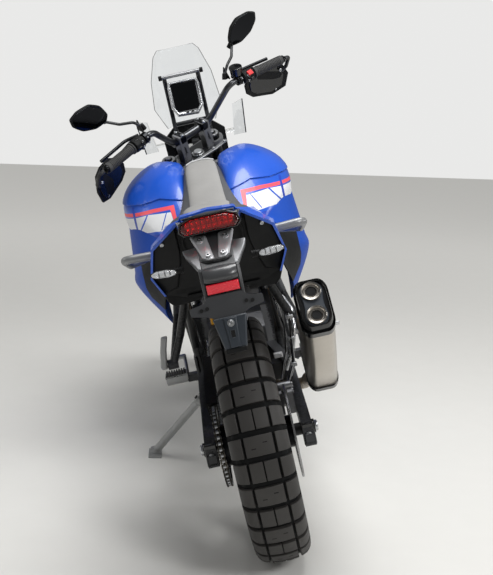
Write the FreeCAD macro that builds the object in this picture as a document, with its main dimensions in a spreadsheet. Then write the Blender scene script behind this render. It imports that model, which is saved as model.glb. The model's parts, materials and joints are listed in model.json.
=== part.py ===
import FreeCAD, Part
import math
import os
import Sketcher
from FreeCAD import Placement, Rotation, Vector

# An adventure motorcycle leaning on its side stand, steering on its left stop.
# Every piece is drawn on the upright machine: x forward from the rear axle,
# y to the left, z up from the ground, in millimetres. Pieces on the steering are
# drawn along the steering axis: x forward of it, y left, z up along it from the ground.

SIZES = (
    ("wheelbase", 1560, "rear axle to front axle"),
    ("rake", 27, "steering axis from vertical, degrees"),
    ("trail", 111, "front contact point behind the steering axis on the ground"),
    ("lean_angle", 14.5, "lean on the side stand, degrees"),
    ("steering_lock", 35, "steering from straight to each stop, degrees"),
    ("running_gap", 0.3, "gap between pieces that seat on each other"),
    ("front_radius", 348, "front tyre, outer"),
    ("front_half_width", 45, "front tyre, half width"),
    ("rear_radius", 333, "rear tyre, outer"),
    ("rear_half_width", 75, "rear tyre, half width"),
    ("front_bead_radius", 267, "front rim, tyre seat"),
    ("rear_bead_radius", 229, "rear rim, tyre seat"),
    ("rim_wall", 7, "rim thickness"),
    ("rim_lip", 10, "rim edge, height above the tyre seat"),
    ("front_rim_half_width", 30, "front rim, half width"),
    ("rear_rim_half_width", 56, "rear rim, half width"),
    ("axle_radius", 10, "both axles"),
    ("front_hub_radius", 26, "front hub barrel"),
    ("rear_hub_radius", 44, "rear hub barrel"),
    ("front_hub_half", 60, "front hub, half length"),
    ("rear_hub_half", 92, "rear hub, half length"),
    ("spoke_radius", 2.2, "wheel spokes"),
    ("spoke_pairs", 16, "spokes on each side of a wheel"),
    ("front_disc_radius", 155, "front brake discs"),
    ("rear_disc_radius", 128, "rear brake disc"),
    ("disc_thickness", 5, "all brake discs"),
    ("front_disc_y", 66, "middle of the front discs"),
    ("rear_disc_y", 94.8, "middle of the rear disc, on the right"),
    ("rear_hub_bore", 25, "rear disc and sprocket, bore"),
    ("carrier_end", 101.2, "sprocket carrier on the rear hub, left end"),
    ("chain_y", 104, "middle of the chain line, on the left"),
    ("sprocket_radius", 104, "rear sprocket, chain rollers"),
    ("pinion_radius", 38, "front sprocket, chain rollers"),
    ("chain_half_width", 8, "chain over its pins, half"),
    ("chain_half_height", 8, "chain side plates, half"),
    ("sprocket_thickness", 5, "rear sprocket"),
    ("pivot_x", 600, "swingarm pivot, forward of the rear axle"),
    ("pivot_z", 400, "swingarm pivot, height"),
    ("arm_inner_y", 118, "swingarm leg, inner face at the axle"),
    ("arm_thickness", 30, "swingarm leg, width"),
    ("arm_half_height", 33, "swingarm leg, half height"),
    ("pivot_half_width", 112, "swingarm pivot, half width"),
    ("fork_spacing", 105, "fork legs from the middle"),
    ("fork_offset", 40, "fork legs forward of the steering axis"),
    ("stanchion_radius", 27, "upper fork tubes"),
    ("slider_radius", 21.5, "lower fork tubes"),
    ("yoke_low", 905, "lower yoke, bottom, along the axis"),
    ("yoke_high", 1118, "upper yoke, bottom, along the axis"),
    ("yoke_thickness", 26, "both yokes"),
    ("stem_radius", 22, "steering stem"),
    ("head_radius", 34, "head tube, outer"),
    ("spar_radius", 18, "frame main spars"),
    ("spar_y", 152, "frame main spars from the middle"),
    ("down_tube_radius", 15, "frame down tubes"),
    ("rail_radius", 12, "seat rails and small frame tubes"),
    ("bar_radius", 14, "handlebar at its middle"),
    ("grip_radius", 17, "handlebar grips"),
    ("bar_half_width", 419, "handlebar, half width"),
    ("bar_rise", 1343, "grips, along the steering axis"),
    ("engine_front", 1050, "crankcase, front face"),
    ("engine_rear", 650, "crankcase, rear face"),
    ("engine_low", 285, "crankcase, bottom"),
    ("engine_top", 510, "crankcase, top"),
    ("engine_half_width", 140, "crankcase, half width"),
    ("block_half_width", 112, "cylinder block, half width"),
    ("clearance_height", 213, "skid plate, bottom"),
    ("skid_half_width", 150, "skid plate, half width"),
    ("header_radius", 19, "exhaust headers"),
    ("exhaust_radius", 22, "exhaust pipe to the silencer"),
    ("silencer_y", 206, "silencer from the middle, on the right"),
    ("silencer_half_width", 41, "silencer, half width"),
    ("silencer_half_height", 68, "silencer, half height"),
    ("outlet_radius", 25, "silencer outlets"),
    ("radiator_half_width", 148, "radiator, half width"),
    ("panel_thickness", 5, "body panels"),
    ("sweep_radius", 168, "room kept round the steering axis for yokes and fork"),
    ("screen_thickness", 4, "windscreen"),
    ("seat_half_width", 120, "seat at its widest"),
    ("tank_half_width", 285, "tank at its widest"),
    ("stand_foot_x", 725, "side stand foot, forward of the rear axle"),
    ("stand_foot_y", 375, "side stand foot, left of the rear tyre's footprint"),
    ("stand_radius", 13, "side stand leg"),
    ("stand_fold", 100, "side stand, down to folded, degrees"),
    ("peg_height", 365, "rider footrests"),
    ("peg_length", 72, "rider footrests"),
    ("accessory_bar_radius", 6, "bar above the dash"),
    ("plate_hole_radius", 3, "number plate bracket holes"),
    ("plate_hole_spacing", 120, "number plate bracket, outer holes"),
)


class Size:
    """A number that remembers how it comes from the sheet of sizes."""

    def __init__(self, value, text):
        self.value = float(value)
        self.text = text

    def __float__(self):
        return self.value

    def combine(self, sign, other, value):
        return Size(value, "(%s %s %s)" % (self.text, sign, as_size(other).text))

    def __add__(self, other):
        return self.combine("+", other, self.value + float(other))

    def __sub__(self, other):
        return self.combine("-", other, self.value - float(other))

    def __mul__(self, other):
        return self.combine("*", other, self.value * float(other))

    def __truediv__(self, other):
        return self.combine("/", other, self.value / float(other))

    def __radd__(self, other):
        return as_size(other) + self

    def __rsub__(self, other):
        return as_size(other) - self

    def __rmul__(self, other):
        return as_size(other) * self

    def __neg__(self):
        return Size(-self.value, "(0 - %s)" % self.text)


def as_size(number):
    return number if isinstance(number, Size) else Size(number, "(%.6f)" % number)


class Dimensions:
    """The sheet of sizes: one attribute for each named cell."""

    def __init__(self, document):
        self.sheet = document.addObject("Spreadsheet::Sheet", "Dims")
        for row, (alias, number, meaning) in enumerate(SIZES, start=1):
            self.sheet.set("A%d" % row, meaning)
            self.sheet.set("B%d" % row, str(number))
            self.sheet.setAlias("B%d" % row, alias)
        document.recompute()

    def __getattr__(self, alias):
        return Size(self.sheet.get(alias), "Dims." + alias)


doc = FreeCAD.newDocument("adventure_motorcycle")
dims = Dimensions(doc)

RAKE = math.radians(float(dims.rake))
GROUND_X = float(dims.wheelbase + dims.trail)
GAP = float(dims.running_gap)
X_AXIS, Y_AXIS, Z_AXIS = Vector(1, 0, 0), Vector(0, 1, 0), Vector(0, 0, 1)

# Places of the drawing frames on the upright machine.
FORK_FRAME = Placement(Vector(GROUND_X, 0, 0), Rotation(Y_AXIS, -float(dims.rake)))
AXLE_OFFSET = (float(dims.front_radius) * math.sin(RAKE) - float(dims.trail) * math.cos(RAKE))
AXLE_DOWN = (float(dims.front_radius) * math.cos(RAKE) + float(dims.trail) * math.sin(RAKE))


def head_point(forward, side, along):
    """A point given beside the steering axis, on the upright machine."""
    return FORK_FRAME.multVec(Vector(forward, side, along))


HEAD_X = head_point(0, 0, 1060).x
REAR_CENTRE = Vector(0, 0, float(dims.rear_radius))

parts = []


def keep(item, group):
    """Remember a finished piece, the group that it moves with, and its own place there."""
    parts.append((item, group, item.Placement))
    return item


# Helpers for shapes

def new_body(label):
    body = doc.addObject("PartDesign::Body", label)
    body.Label = label
    return body


def of_origin(body, role):
    """One of a body's origin planes or axes."""
    return [item for item in body.Origin.OriginFeatures if item.Role == role][0]


def draw(body, name, role, points, offset=0):
    """A closed outline of straight lines, each corner bound to the sizes."""
    sketch = body.newObject("Sketcher::SketchObject", name)
    sketch.AttachmentSupport = (of_origin(body, role), [""])
    sketch.MapMode = "FlatFace"
    sketch.AttachmentOffset = Placement(Vector(0, 0, float(offset)), Rotation())
    if isinstance(offset, Size):
        sketch.setExpression("AttachmentOffset.Base.z", offset.text)
    count = len(points)
    corners = [Vector(float(across), float(up), 0) for across, up in points]
    for index in range(count):
        line = Part.LineSegment(corners[index], corners[(index + 1) % count])
        sketch.addGeometry(line, False)
    for index in range(count):
        sketch.addConstraint(Sketcher.Constraint("Coincident", index, 2, (index + 1) % count, 1))
    for index, point in enumerate(points):
        for kind, number in zip(("DistanceX", "DistanceY"), point):
            spot = sketch.addConstraint(
                Sketcher.Constraint(kind, -1, 1, index, 1, float(number)))
            if isinstance(number, Size):
                sketch.setExpression("Constraints[%d]" % spot, number.text)
    return sketch


def draw_circle(body, name, role, across, up, radius, offset=0):
    """A circle whose middle and radius are bound to the sizes."""
    sketch = body.newObject("Sketcher::SketchObject", name)
    sketch.AttachmentSupport = (of_origin(body, role), [""])
    sketch.MapMode = "FlatFace"
    sketch.AttachmentOffset = Placement(Vector(0, 0, float(offset)), Rotation())
    if isinstance(offset, Size):
        sketch.setExpression("AttachmentOffset.Base.z", offset.text)
    middle = Vector(float(across), float(up), 0)
    sketch.addGeometry(Part.Circle(middle, Z_AXIS, float(radius)), False)
    rules = (("DistanceX", (-1, 1, 0, 3), across), ("DistanceY", (-1, 1, 0, 3), up),
             ("Radius", (0,), radius))
    for kind, places, number in rules:
        spot = sketch.addConstraint(Sketcher.Constraint(kind, *places, float(number)))
        if isinstance(number, Size):
            sketch.setExpression("Constraints[%d]" % spot, number.text)
    return sketch


def feature(body, kind, sketch, length, both=True):
    """A pad or a pocket of a sketch, its length bound to the sizes."""
    item = body.newObject("PartDesign::" + kind, sketch.Name + "_" + kind.lower())
    item.Profile = sketch
    item.SideType = "Symmetric" if both else "One side"
    item.Length = float(length)
    if isinstance(length, Size):
        item.setExpression("Length", length.text)
    return item


def around(body, item, sketch, count):
    """Copies of a feature round the normal of its sketch through the origin."""
    doc.recompute()
    pattern = body.newObject("PartDesign::PolarPattern", item.Name + "_ring")
    pattern.Originals = [item]
    pattern.Axis = (of_origin(body, "Y_Axis"), [""])
    pattern.Angle = 360
    pattern.Occurrences = int(count)
    body.Tip = pattern
    return pattern


def turned(body, name, points):
    """A ring turned about the y axis from an outline of (y, radius)."""
    sketch = draw(body, name, "YZ_Plane", points)
    ring = body.newObject("PartDesign::Revolution", name + "_turned")
    ring.Profile = sketch
    ring.ReferenceAxis = (sketch, ["H_Axis"])
    ring.Angle = 360
    return ring


def solid_part(label, shape, group):
    """A finished shape as an object of the document."""
    item = doc.addObject("Part::Feature", label)
    item.Label = label
    item.Shape = shape
    return keep(item, group)


def join(shapes):
    shapes = list(shapes)
    return shapes[0].multiFuse(shapes[1:]) if len(shapes) > 1 else shapes[0]


def both_sides(shape):
    """A shape and its mirror image on the other side of the machine."""
    return [shape, shape.mirror(Vector(), Y_AXIS)]


def block(low, high):
    """A box between two opposite corners."""
    low, high = Vector(low), Vector(high)
    return Part.makeBox(high.x - low.x, high.y - low.y, high.z - low.z, low)


def rod(start, end, radius):
    start, end = Vector(start), Vector(end)
    return Part.makeCylinder(float(radius), (end - start).Length, start, end - start)


def prism(points, half_width, middle=0.0):
    """An outline of (x, z) given its width across the machine."""
    corners = [Vector(float(x), middle - half_width, float(z)) for x, z in points]
    face = Part.Face(Part.makePolygon(corners + corners[:1]))
    return face.extrude(Vector(0, 2 * half_width, 0))


def bent_path(points, bend):
    """Straight runs joined by arcs; each arc takes at most 0.45 of its shorter run."""
    points = [Vector(point) for point in points]
    edges, start = [], points[0]
    for before, corner, after in zip(points, points[1:], points[2:]):
        to_back = (before - corner)
        to_front = (after - corner)
        half = to_back.getAngle(to_front) / 2
        cut = min(bend / math.tan(half), 0.45 * to_back.Length, 0.45 * to_front.Length)
        to_back.normalize()
        to_front.normalize()
        first, last = corner + to_back * cut, corner + to_front * cut
        towards = to_back + to_front
        towards.normalize()
        radius = cut * math.tan(half)
        middle = corner + towards * (radius / math.sin(half) - radius)
        edges.append(Part.LineSegment(start, first).toShape())
        edges.append(Part.Arc(first, middle, last).toShape())
        start = last
    edges.append(Part.LineSegment(start, points[-1]).toShape())
    return Part.Wire(edges)


def tube(points, radius, bend=40.0):
    """A round bar along straight runs and arcs."""
    path = bent_path(points, bend)
    start = Vector(points[0])
    circle = Part.Circle(start, Vector(points[1]) - start, float(radius))
    return path.makePipeShell([Part.Wire([circle.toShape()])], True, False)


def ring_wire(corners):
    return Part.makePolygon(corners + corners[:1])


def loft(sections):
    """A solid through closed outlines that have as many corners each."""
    return Part.makeLoft([ring_wire(corners) for corners in sections], True, True)


def mirrored_section(x, half):
    """A whole outline at x from its left half, given as (y, z) from top to bottom."""
    left = [Vector(x, y, z) for y, z in half]
    right = [Vector(x, -y, z) for y, z in reversed(half) if y > 0]
    return left + right


def seated(shape, carrier, side):
    """The larger rest of a shape outside its carrier, a running gap away along y."""
    carrier = carrier.copy()
    carrier.translate(Vector(0, side * GAP, 0))
    return max(shape.cut(carrier).Solids, key=lambda solid: solid.Volume)


# Tyres: outlines as (y, radius), from one bead over the crown to the other

def tyre_outline(half_width, radius, bead_half, bead):
    """The outer tyre from bead to bead; shares are of the half width and section height."""
    height = radius - bead
    shape = ((0.84, 0.24), (1.00, 0.52), (0.97, 0.72), (0.80, 0.89), (0.52, 0.965), (0.20, 1.0))
    side = [(bead_half, bead), (bead_half, bead + dims.rim_lip + GAP)]
    side += [(half_width * share, bead + height * up) for share, up in shape]
    return [(-y, r) for y, r in side] + [(y, r) for y, r in reversed(side)]


def tyre(label, half_width, radius, bead_half, bead, group):
    """A tyre with its hollow: the outer outline, and an inner one a wall inside it."""
    wall = 12
    outer = tyre_outline(half_width, radius, bead_half, bead)
    inner = tyre_outline(half_width - wall, radius - wall, bead_half - wall, bead)
    body = new_body(label)
    turned(body, label + "_outline", outer + inner[::-1])
    keep(body, group)
    return outer


FRONT_OUTLINE = tyre("front_tyre", dims.front_half_width, dims.front_radius,
                     dims.front_rim_half_width - GAP, dims.front_bead_radius, "front_wheel")
REAR_OUTLINE = tyre("rear_tyre", dims.rear_half_width, dims.rear_radius,
                    dims.rear_rim_half_width - GAP, dims.rear_bead_radius, "rear_wheel")


# Wheels: a rim, a hub and crossed spokes in one welded-looking piece

def wheel(label, rim_half, bead, hub_radius, hub_half, flange_radius, group, carrier=None):
    """A spoked wheel about its own middle, its axle along y."""
    rim_half, bead, hub_half = float(rim_half), float(bead), float(hub_half)
    hub_radius, wall = float(hub_radius), float(dims.rim_wall)
    seat, well = bead - GAP, bead - 20
    lip = bead + float(dims.rim_lip)
    outline = [(-rim_half - wall, lip), (-rim_half, lip), (-rim_half, seat),
               (-rim_half * 0.6, seat), (-rim_half * 0.45, well), (rim_half * 0.45, well),
               (rim_half * 0.6, seat), (rim_half, seat), (rim_half, lip),
               (rim_half + wall, lip), (rim_half + wall, seat - wall),
               (rim_half * 0.6, seat - wall), (rim_half * 0.45, well - wall),
               (-rim_half * 0.45, well - wall), (-rim_half * 0.6, seat - wall),
               (-rim_half - wall, seat - wall)]
    profile = Part.Face(ring_wire([Vector(0, y, r) for y, r in outline]))
    rim = profile.revolve(Vector(), Y_AXIS, 360)
    flange_y = hub_half * 0.62
    hub = Part.makeCylinder(hub_radius, 2 * hub_half, Vector(0, -hub_half, 0), Y_AXIS)
    flanges = [Part.makeCylinder(flange_radius, 6, Vector(0, side * flange_y - 3, 0), Y_AXIS)
               for side in (-1, 1)]
    spokes = []
    count = int(float(dims.spoke_pairs))
    for index in range(count):
        for side in (-1, 1):
            turn = 2 * math.pi * (index + 0.25 * side) / count
            lead = math.radians(38) * (1 if index % 2 else -1)
            root = Vector((flange_radius - 4) * math.sin(turn + lead), side * flange_y,
                          (flange_radius - 4) * math.cos(turn + lead))
            tip = Vector((well - wall / 2) * math.sin(turn), side * 8,
                         (well - wall / 2) * math.cos(turn))
            spokes.append(rod(root, tip, dims.spoke_radius))
    if carrier:
        hub = hub.fuse(Part.makeCylinder(56, carrier - flange_y, Vector(0, flange_y, 0), Y_AXIS))
    bore = Part.makeCylinder(float(dims.axle_radius) + GAP, 4 * hub_half,
                             Vector(0, -2 * hub_half, 0), Y_AXIS)
    solid_part(label, join([rim, hub] + flanges + spokes).cut(bore), group)


wheel("front_rim", dims.front_rim_half_width, dims.front_bead_radius, dims.front_hub_radius,
      dims.front_hub_half, 38, "front_wheel")
wheel("rear_rim", dims.rear_rim_half_width, dims.rear_bead_radius, dims.rear_hub_radius,
      dims.rear_hub_half, 62, "rear_wheel", float(dims.carrier_end))


def disc(label, radius, inner, bolt_radius):
    """A drilled brake disc in the middle plane of its own frame."""
    body = new_body(label)
    plate = draw_circle(body, label + "_plate", "XZ_Plane", 0, 0, radius)
    feature(body, "Pad", plate, dims.disc_thickness)
    doc.recompute()
    centre = draw_circle(body, label + "_centre", "XZ_Plane", 0, 0, inner)
    feature(body, "Pocket", centre, dims.disc_thickness * 3)
    doc.recompute()
    for row, (share, count) in enumerate(((0.90, 12), (0.78, 12))):
        hole = draw_circle(body, "%s_hole_%d" % (label, row), "XZ_Plane",
                           radius * share * math.sin(row * 0.26),
                           radius * share * math.cos(row * 0.26), bolt_radius)
        cut = feature(body, "Pocket", hole, dims.disc_thickness * 3)
        around(body, cut, hole, count)
        doc.recompute()
    return body


def twin(label, body, distance, group):
    """Two copies of a piece, one on each side of the middle plane."""
    items = []
    for side in (-1, 1):
        copy = doc.addObject("Part::Feature", label + ("_left" if side > 0 else "_right"))
        shape = body.Shape.copy()
        shape.Placement = Placement(Vector(0, side * float(distance), 0), Rotation())
        copy.Shape = shape
        items.append(copy)
    pair = doc.addObject("Part::Compound", label)
    pair.Links = items
    pair.Label = label
    return keep(pair, group)


doc.recompute()
disc_body = disc("disc_pattern", dims.front_disc_radius, dims.front_hub_radius + GAP, 4)
doc.recompute()
twin("front_discs", disc_body, dims.front_disc_y - 8, "front_wheel")
rear_disc = disc("rear_disc", dims.rear_disc_radius, dims.rear_hub_bore, 4)
keep(rear_disc, "rear_disc_group")


# Drive: a toothed sprocket, and the chain as one fixed loop that it runs inside

def sprocket():
    body = new_body("rear_sprocket")
    teeth = 41
    radius = dims.sprocket_radius
    plate = draw_circle(body, "sprocket_plate", "XZ_Plane", 0, 0, radius + 3)
    feature(body, "Pad", plate, dims.sprocket_thickness)
    doc.recompute()
    gap = draw_circle(body, "sprocket_tooth_gap", "XZ_Plane", radius + 3.5, 0, 4.6)
    cut = feature(body, "Pocket", gap, dims.sprocket_thickness * 3)
    around(body, cut, gap, teeth)
    doc.recompute()
    centre = draw_circle(body, "sprocket_centre", "XZ_Plane", 0, 0, dims.rear_hub_bore)
    feature(body, "Pocket", centre, dims.sprocket_thickness * 3)
    doc.recompute()
    window = draw_circle(body, "sprocket_window", "XZ_Plane", radius * 0.68, 0, 14)
    cut = feature(body, "Pocket", window, dims.sprocket_thickness * 3)
    around(body, cut, window, 6)
    doc.recompute()
    keep(body, "sprocket_group")


sprocket()

PINION = Vector(float(dims.engine_rear) + 42, 0, float(dims.pivot_z) + 12)


def belt(extra, half_width, middle):
    """The space inside a loop round both sprockets, grown by a distance."""
    big, small = float(dims.sprocket_radius) + extra, float(dims.pinion_radius) + extra
    span = PINION - REAR_CENTRE
    tilt = math.atan2(span.z, span.x)
    spread = math.acos((big - small) / span.Length)
    y = middle - half_width
    corners = []
    for centre, radius, turn in ((REAR_CENTRE, big, tilt + spread), (PINION, small, tilt + spread),
                                 (PINION, small, tilt - spread), (REAR_CENTRE, big, tilt - spread)):
        corners.append(Vector(centre.x + radius * math.cos(turn), y,
                              centre.z + radius * math.sin(turn)))
    straight = Part.Face(ring_wire(corners)).extrude(Vector(0, 2 * half_width, 0))
    ends = [Part.makeCylinder(radius, 2 * half_width, Vector(centre.x, y, centre.z), Y_AXIS)
            for centre, radius in ((REAR_CENTRE, big), (PINION, small))]
    return join([straight] + ends)


def chain():
    middle = float(dims.chain_y)
    half_height = float(dims.chain_half_height)
    half_width = float(dims.chain_half_width)
    outer = belt(half_height, half_width, middle)
    inner = belt(-half_height, half_width + 2, middle)
    groove = belt(4.5, float(dims.sprocket_thickness) / 2 + 1.5, middle)
    solid_part("chain", outer.cut(inner).cut(groove), "chassis")


chain()


# Swingarm with its pivot, axle and adjusters

def arm_section(x, inner, thickness, z, half_height):
    return [Vector(x, inner, z - half_height), Vector(x, inner + thickness, z - half_height),
            Vector(x, inner + thickness, z + half_height), Vector(x, inner, z + half_height)]


def swingarm():
    pivot_x, pivot_z = float(dims.pivot_x), float(dims.pivot_z)
    inner, thick = float(dims.arm_inner_y), float(dims.arm_thickness)
    high, axle_z = float(dims.arm_half_height), float(dims.rear_radius)
    pivot_half = float(dims.pivot_half_width)

    def level(x):
        return axle_z + (pivot_z - axle_z) * x / pivot_x

    leg = loft([arm_section(-58, inner, thick, level(-58), high * 0.8),
                arm_section(70, inner, thick, level(70), high),
                arm_section(pivot_x - 190, inner, thick, level(pivot_x - 190), high),
                arm_section(pivot_x, pivot_half - thick, thick, pivot_z, high * 0.9)])
    adjuster = block((-70, inner + 4, level(-65) - 10), (-58, inner + thick - 4, level(-65) + 10))
    brace_x = pivot_x - 185
    brace = block((brace_x, -inner - 2, level(brace_x) - 26),
                  (brace_x + 50, inner + 2, level(brace_x) + 26))
    pivot = rod((pivot_x, -pivot_half, pivot_z), (pivot_x, pivot_half, pivot_z), 29)
    axle_end = inner + thick + 7
    axle = rod((0, -axle_end, axle_z), (0, axle_end, axle_z), dims.axle_radius)
    nuts = [rod((0, side * (inner + thick), axle_z), (0, side * axle_end, axle_z), 19)
            for side in (-1, 1)]
    spacers = [rod((0, -float(dims.rear_hub_half) - GAP, axle_z), (0, -inner - 1, axle_z), 17),
               rod((0, float(dims.carrier_end) + GAP, axle_z), (0, inner + 1, axle_z), 17)]
    lug = block((brace_x + 10, -16, level(brace_x) + 20), (brace_x + 44, 16, level(brace_x) + 52))
    pieces = [brace, pivot, axle, lug] + nuts + spacers
    pieces += both_sides(leg) + both_sides(adjuster)
    solid_part("swingarm", join(pieces), "chassis")
    return Vector(brace_x + 27, 0, level(brace_x) + 52)


SHOCK_FOOT = swingarm()


# Frame: head tube, spars, down tubes, seat rails and cross tubes

SPAR_Y = float(dims.spar_y)
PIVOT = Vector(float(dims.pivot_x), 0, float(dims.pivot_z))
SHOCK_TOP = Vector(PIVOT.x + 66, 0, PIVOT.z + 312)
DOWN_TOP = head_point(0, 20, 1005)
DOWN_KNEE = Vector(float(dims.engine_front) + 40, 118, 560)
TAIL_RAIL_X = -40.0


def spar_points():
    """The left main spar, from the head to below the swingarm pivot."""
    outer = PIVOT.y + float(dims.pivot_half_width) + float(dims.spar_radius) + 2
    return [head_point(0, 18, 1062), Vector(HEAD_X - 120, 108, 850),
            Vector(HEAD_X - 365, SPAR_Y, 742), Vector(PIVOT.x + 62, SPAR_Y, 605),
            Vector(PIVOT.x, outer + 4, PIVOT.z + 70), Vector(PIVOT.x, outer, PIVOT.z - 75)]


def rail_points():
    """The left seat rail, from the spar to the tail."""
    return [Vector(PIVOT.x + 120, SPAR_Y - 4, 662), Vector(PIVOT.x - 190, 118, 795),
            Vector(TAIL_RAIL_X, 88, 895)]


def strut_points():
    """The left lower strut, from the pivot up to the seat rail."""
    return [Vector(PIVOT.x + 4, SPAR_Y - 12, PIVOT.z + 60), Vector(PIVOT.x - 240, 128, 690),
            Vector(PIVOT.x - 440, 106, 845)]


def frame():
    head_low = float(dims.yoke_low + dims.yoke_thickness) + GAP
    head_high = float(dims.yoke_high) - GAP
    head = rod(head_point(0, 0, head_low), head_point(0, 0, head_high), dims.head_radius)
    bore = rod(head_point(0, 0, head_low - 10), head_point(0, 0, head_high + 10),
               dims.stem_radius + GAP)
    mount_x = float(dims.engine_front + dims.down_tube_radius) + GAP
    down = tube([DOWN_TOP, DOWN_KNEE, Vector(mount_x, 122, 440)], dims.down_tube_radius)
    sides = [tube(spar_points(), dims.spar_radius, 70), down,
             tube(rail_points(), dims.rail_radius, 60), tube(strut_points(), dims.rail_radius, 60)]
    top_cross = tube([Vector(PIVOT.x + 92, SPAR_Y - 4, 630), Vector(SHOCK_TOP.x, 100, SHOCK_TOP.z),
                      Vector(SHOCK_TOP.x, -100, SHOCK_TOP.z),
                      Vector(PIVOT.x + 92, 4 - SPAR_Y, 630)], 14, 30)
    crosses = [rod((TAIL_RAIL_X + 14, -88, 892), (TAIL_RAIL_X + 14, 88, 892), 10),
               rod((PIVOT.x - 190, -118, 795), (PIVOT.x - 190, 118, 795), 10),
               rod((HEAD_X - 150, -112, 842), (HEAD_X - 150, 112, 842), 12), top_cross]
    pieces = [head] + crosses
    for side in sides:
        pieces += both_sides(side)
    shape = join(pieces).cut(bore)
    solid_part("frame", shape, "chassis")
    return shape.optimalBoundingBox(False, False).XMin


FRAME_REAR = frame()


# Engine: crankcase with its side covers, and the inclined cylinder block

def crankcase():
    low, top = float(dims.engine_low), float(dims.engine_top)
    front, rear = float(dims.engine_front), float(dims.engine_rear)
    half = float(dims.engine_half_width)
    outline = ((rear, low + 30), (rear + 45, low), (front - 65, low), (front, low + 45),
               (front, top - 12), (front - 40, top), (rear + 50, top), (rear, top - 40))
    core = prism(outline, 92)
    wide = prism(((rear + 125, low), (front - 65, low), (front, low + 45), (front, top - 12),
                  (front - 40, top), (rear + 125, top)), half)
    covers = [Part.makeCylinder(84, 30, Vector(rear + 225, -half - 30, low + 118), Y_AXIS),
              Part.makeCylinder(60, 42, Vector(rear + 225, -half - 42, low + 118), Y_AXIS),
              Part.makeCylinder(76, 26, Vector(front - 95, half, low + 120), Y_AXIS),
              Part.makeCylinder(50, 20, Vector(rear + 195, half, low + 110), Y_AXIS)]
    solid_part("crankcase", join([core, wide] + covers), "chassis")


def cylinder_block():
    base, front = float(dims.engine_top) + GAP, float(dims.engine_front)
    half = float(dims.block_half_width)
    lower = prism(((front - 215, base), (front - 45, base), (front + 5, 660), (front - 170, 690)),
                  half - 12)
    upper = prism(((front - 170, 690), (front + 5, 660), (front + 18, 725), (front - 10, 778),
                   (front - 140, 782), (front - 178, 740)), half)
    fins = []
    for step in range(5):
        x = front + 9 * step
        rear_z, front_z = base + 22 + 28 * step, base + 18 + 26 * step
        fins.append(prism(((x - 222, rear_z), (x - 36, front_z), (x - 34, front_z + 7),
                           (x - 220, rear_z + 7)), half - 4))
    solid_part("cylinder_block", join([lower, upper] + fins), "chassis")


crankcase()
cylinder_block()


def radiator():
    """Core, side tanks and two bosses that reach back to the down tubes."""
    half = float(dims.radiator_half_width)
    back = float(dims.engine_front) + 122
    low, high = 500.0, 705.0
    core = block((back, -half + 16, low), (back + 30, half - 16, high))
    tanks = both_sides(block((back - 2, half - 16, low - 6), (back + 34, half + 9, high + 6)))
    rows = [block((back + 30, 16 - half, low + 14 + 19 * row),
                  (back + 33, half - 16, low + 18 + 19 * row)) for row in range(10)]
    level = 690.0
    share = (DOWN_TOP.z - level) / (DOWN_TOP.z - DOWN_KNEE.z)
    tube_spot = DOWN_TOP + (DOWN_KNEE - DOWN_TOP) * share
    slope = (DOWN_TOP.x - DOWN_KNEE.x) / (DOWN_TOP.z - DOWN_KNEE.z)
    reach = (tube_spot.x + float(dims.down_tube_radius) * math.hypot(1, slope) + 7 * slope + GAP)
    bosses = [rod((back + 2, side * tube_spot.y, level), (reach, side * tube_spot.y, level), 7)
              for side in (-1, 1)]
    solid_part("radiator", join([core] + tanks + rows + bosses), "chassis")


radiator()


def skid_plate():
    """A bent plate with side walls, open at the top."""
    wall = dims.panel_thickness
    low, front = dims.clearance_height, dims.engine_front
    body = new_body("skid_plate")
    outer = draw(body, "skid_outline", "XZ_Plane",
                 [(front + 100, low + 242), (front + 35, low), (front - 360, low),
                  (front - 360, low + 60), (front - 20, low + 75), (front + 70, low + 242)])
    feature(body, "Pad", outer, dims.skid_half_width * 2)
    doc.recompute()
    inner = draw(body, "skid_hollow", "XZ_Plane",
                 [(front + 100 - wall, low + 260), (front + 33 - wall, low + wall),
                  (front - 380, low + wall), (front - 380, low + 90), (front - 20, low + 90),
                  (front + 40, low + 260)])
    feature(body, "Pocket", inner, (dims.skid_half_width - wall) * 2)
    doc.recompute()
    posts = new_body("skid_posts")
    height = dims.engine_low - low - wall - dims.running_gap
    for index, (x, y) in enumerate(((-330, 100), (-330, -100), (-120, 100), (-120, -100))):
        circle = draw_circle(posts, "skid_post_%d" % index, "XY_Plane", front + x, y, 9,
                             low + wall - 1)
        feature(posts, "Pad", circle, height + 1, both=False)
        doc.recompute()
    fused = doc.addObject("Part::MultiFuse", "skid_plate_posts")
    fused.Shapes = [body, posts]
    body.Label = "skid_tray"
    fused.Label = "skid_plate"
    keep(fused, "chassis")


skid_plate()


# Exhaust: two headers into one pipe, then the silencer with two outlets

SILENCER_FRONT = Vector(80, -float(dims.silencer_y), 468)
SILENCER_REAR = Vector(-228, -float(dims.silencer_y), 724)


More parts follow.
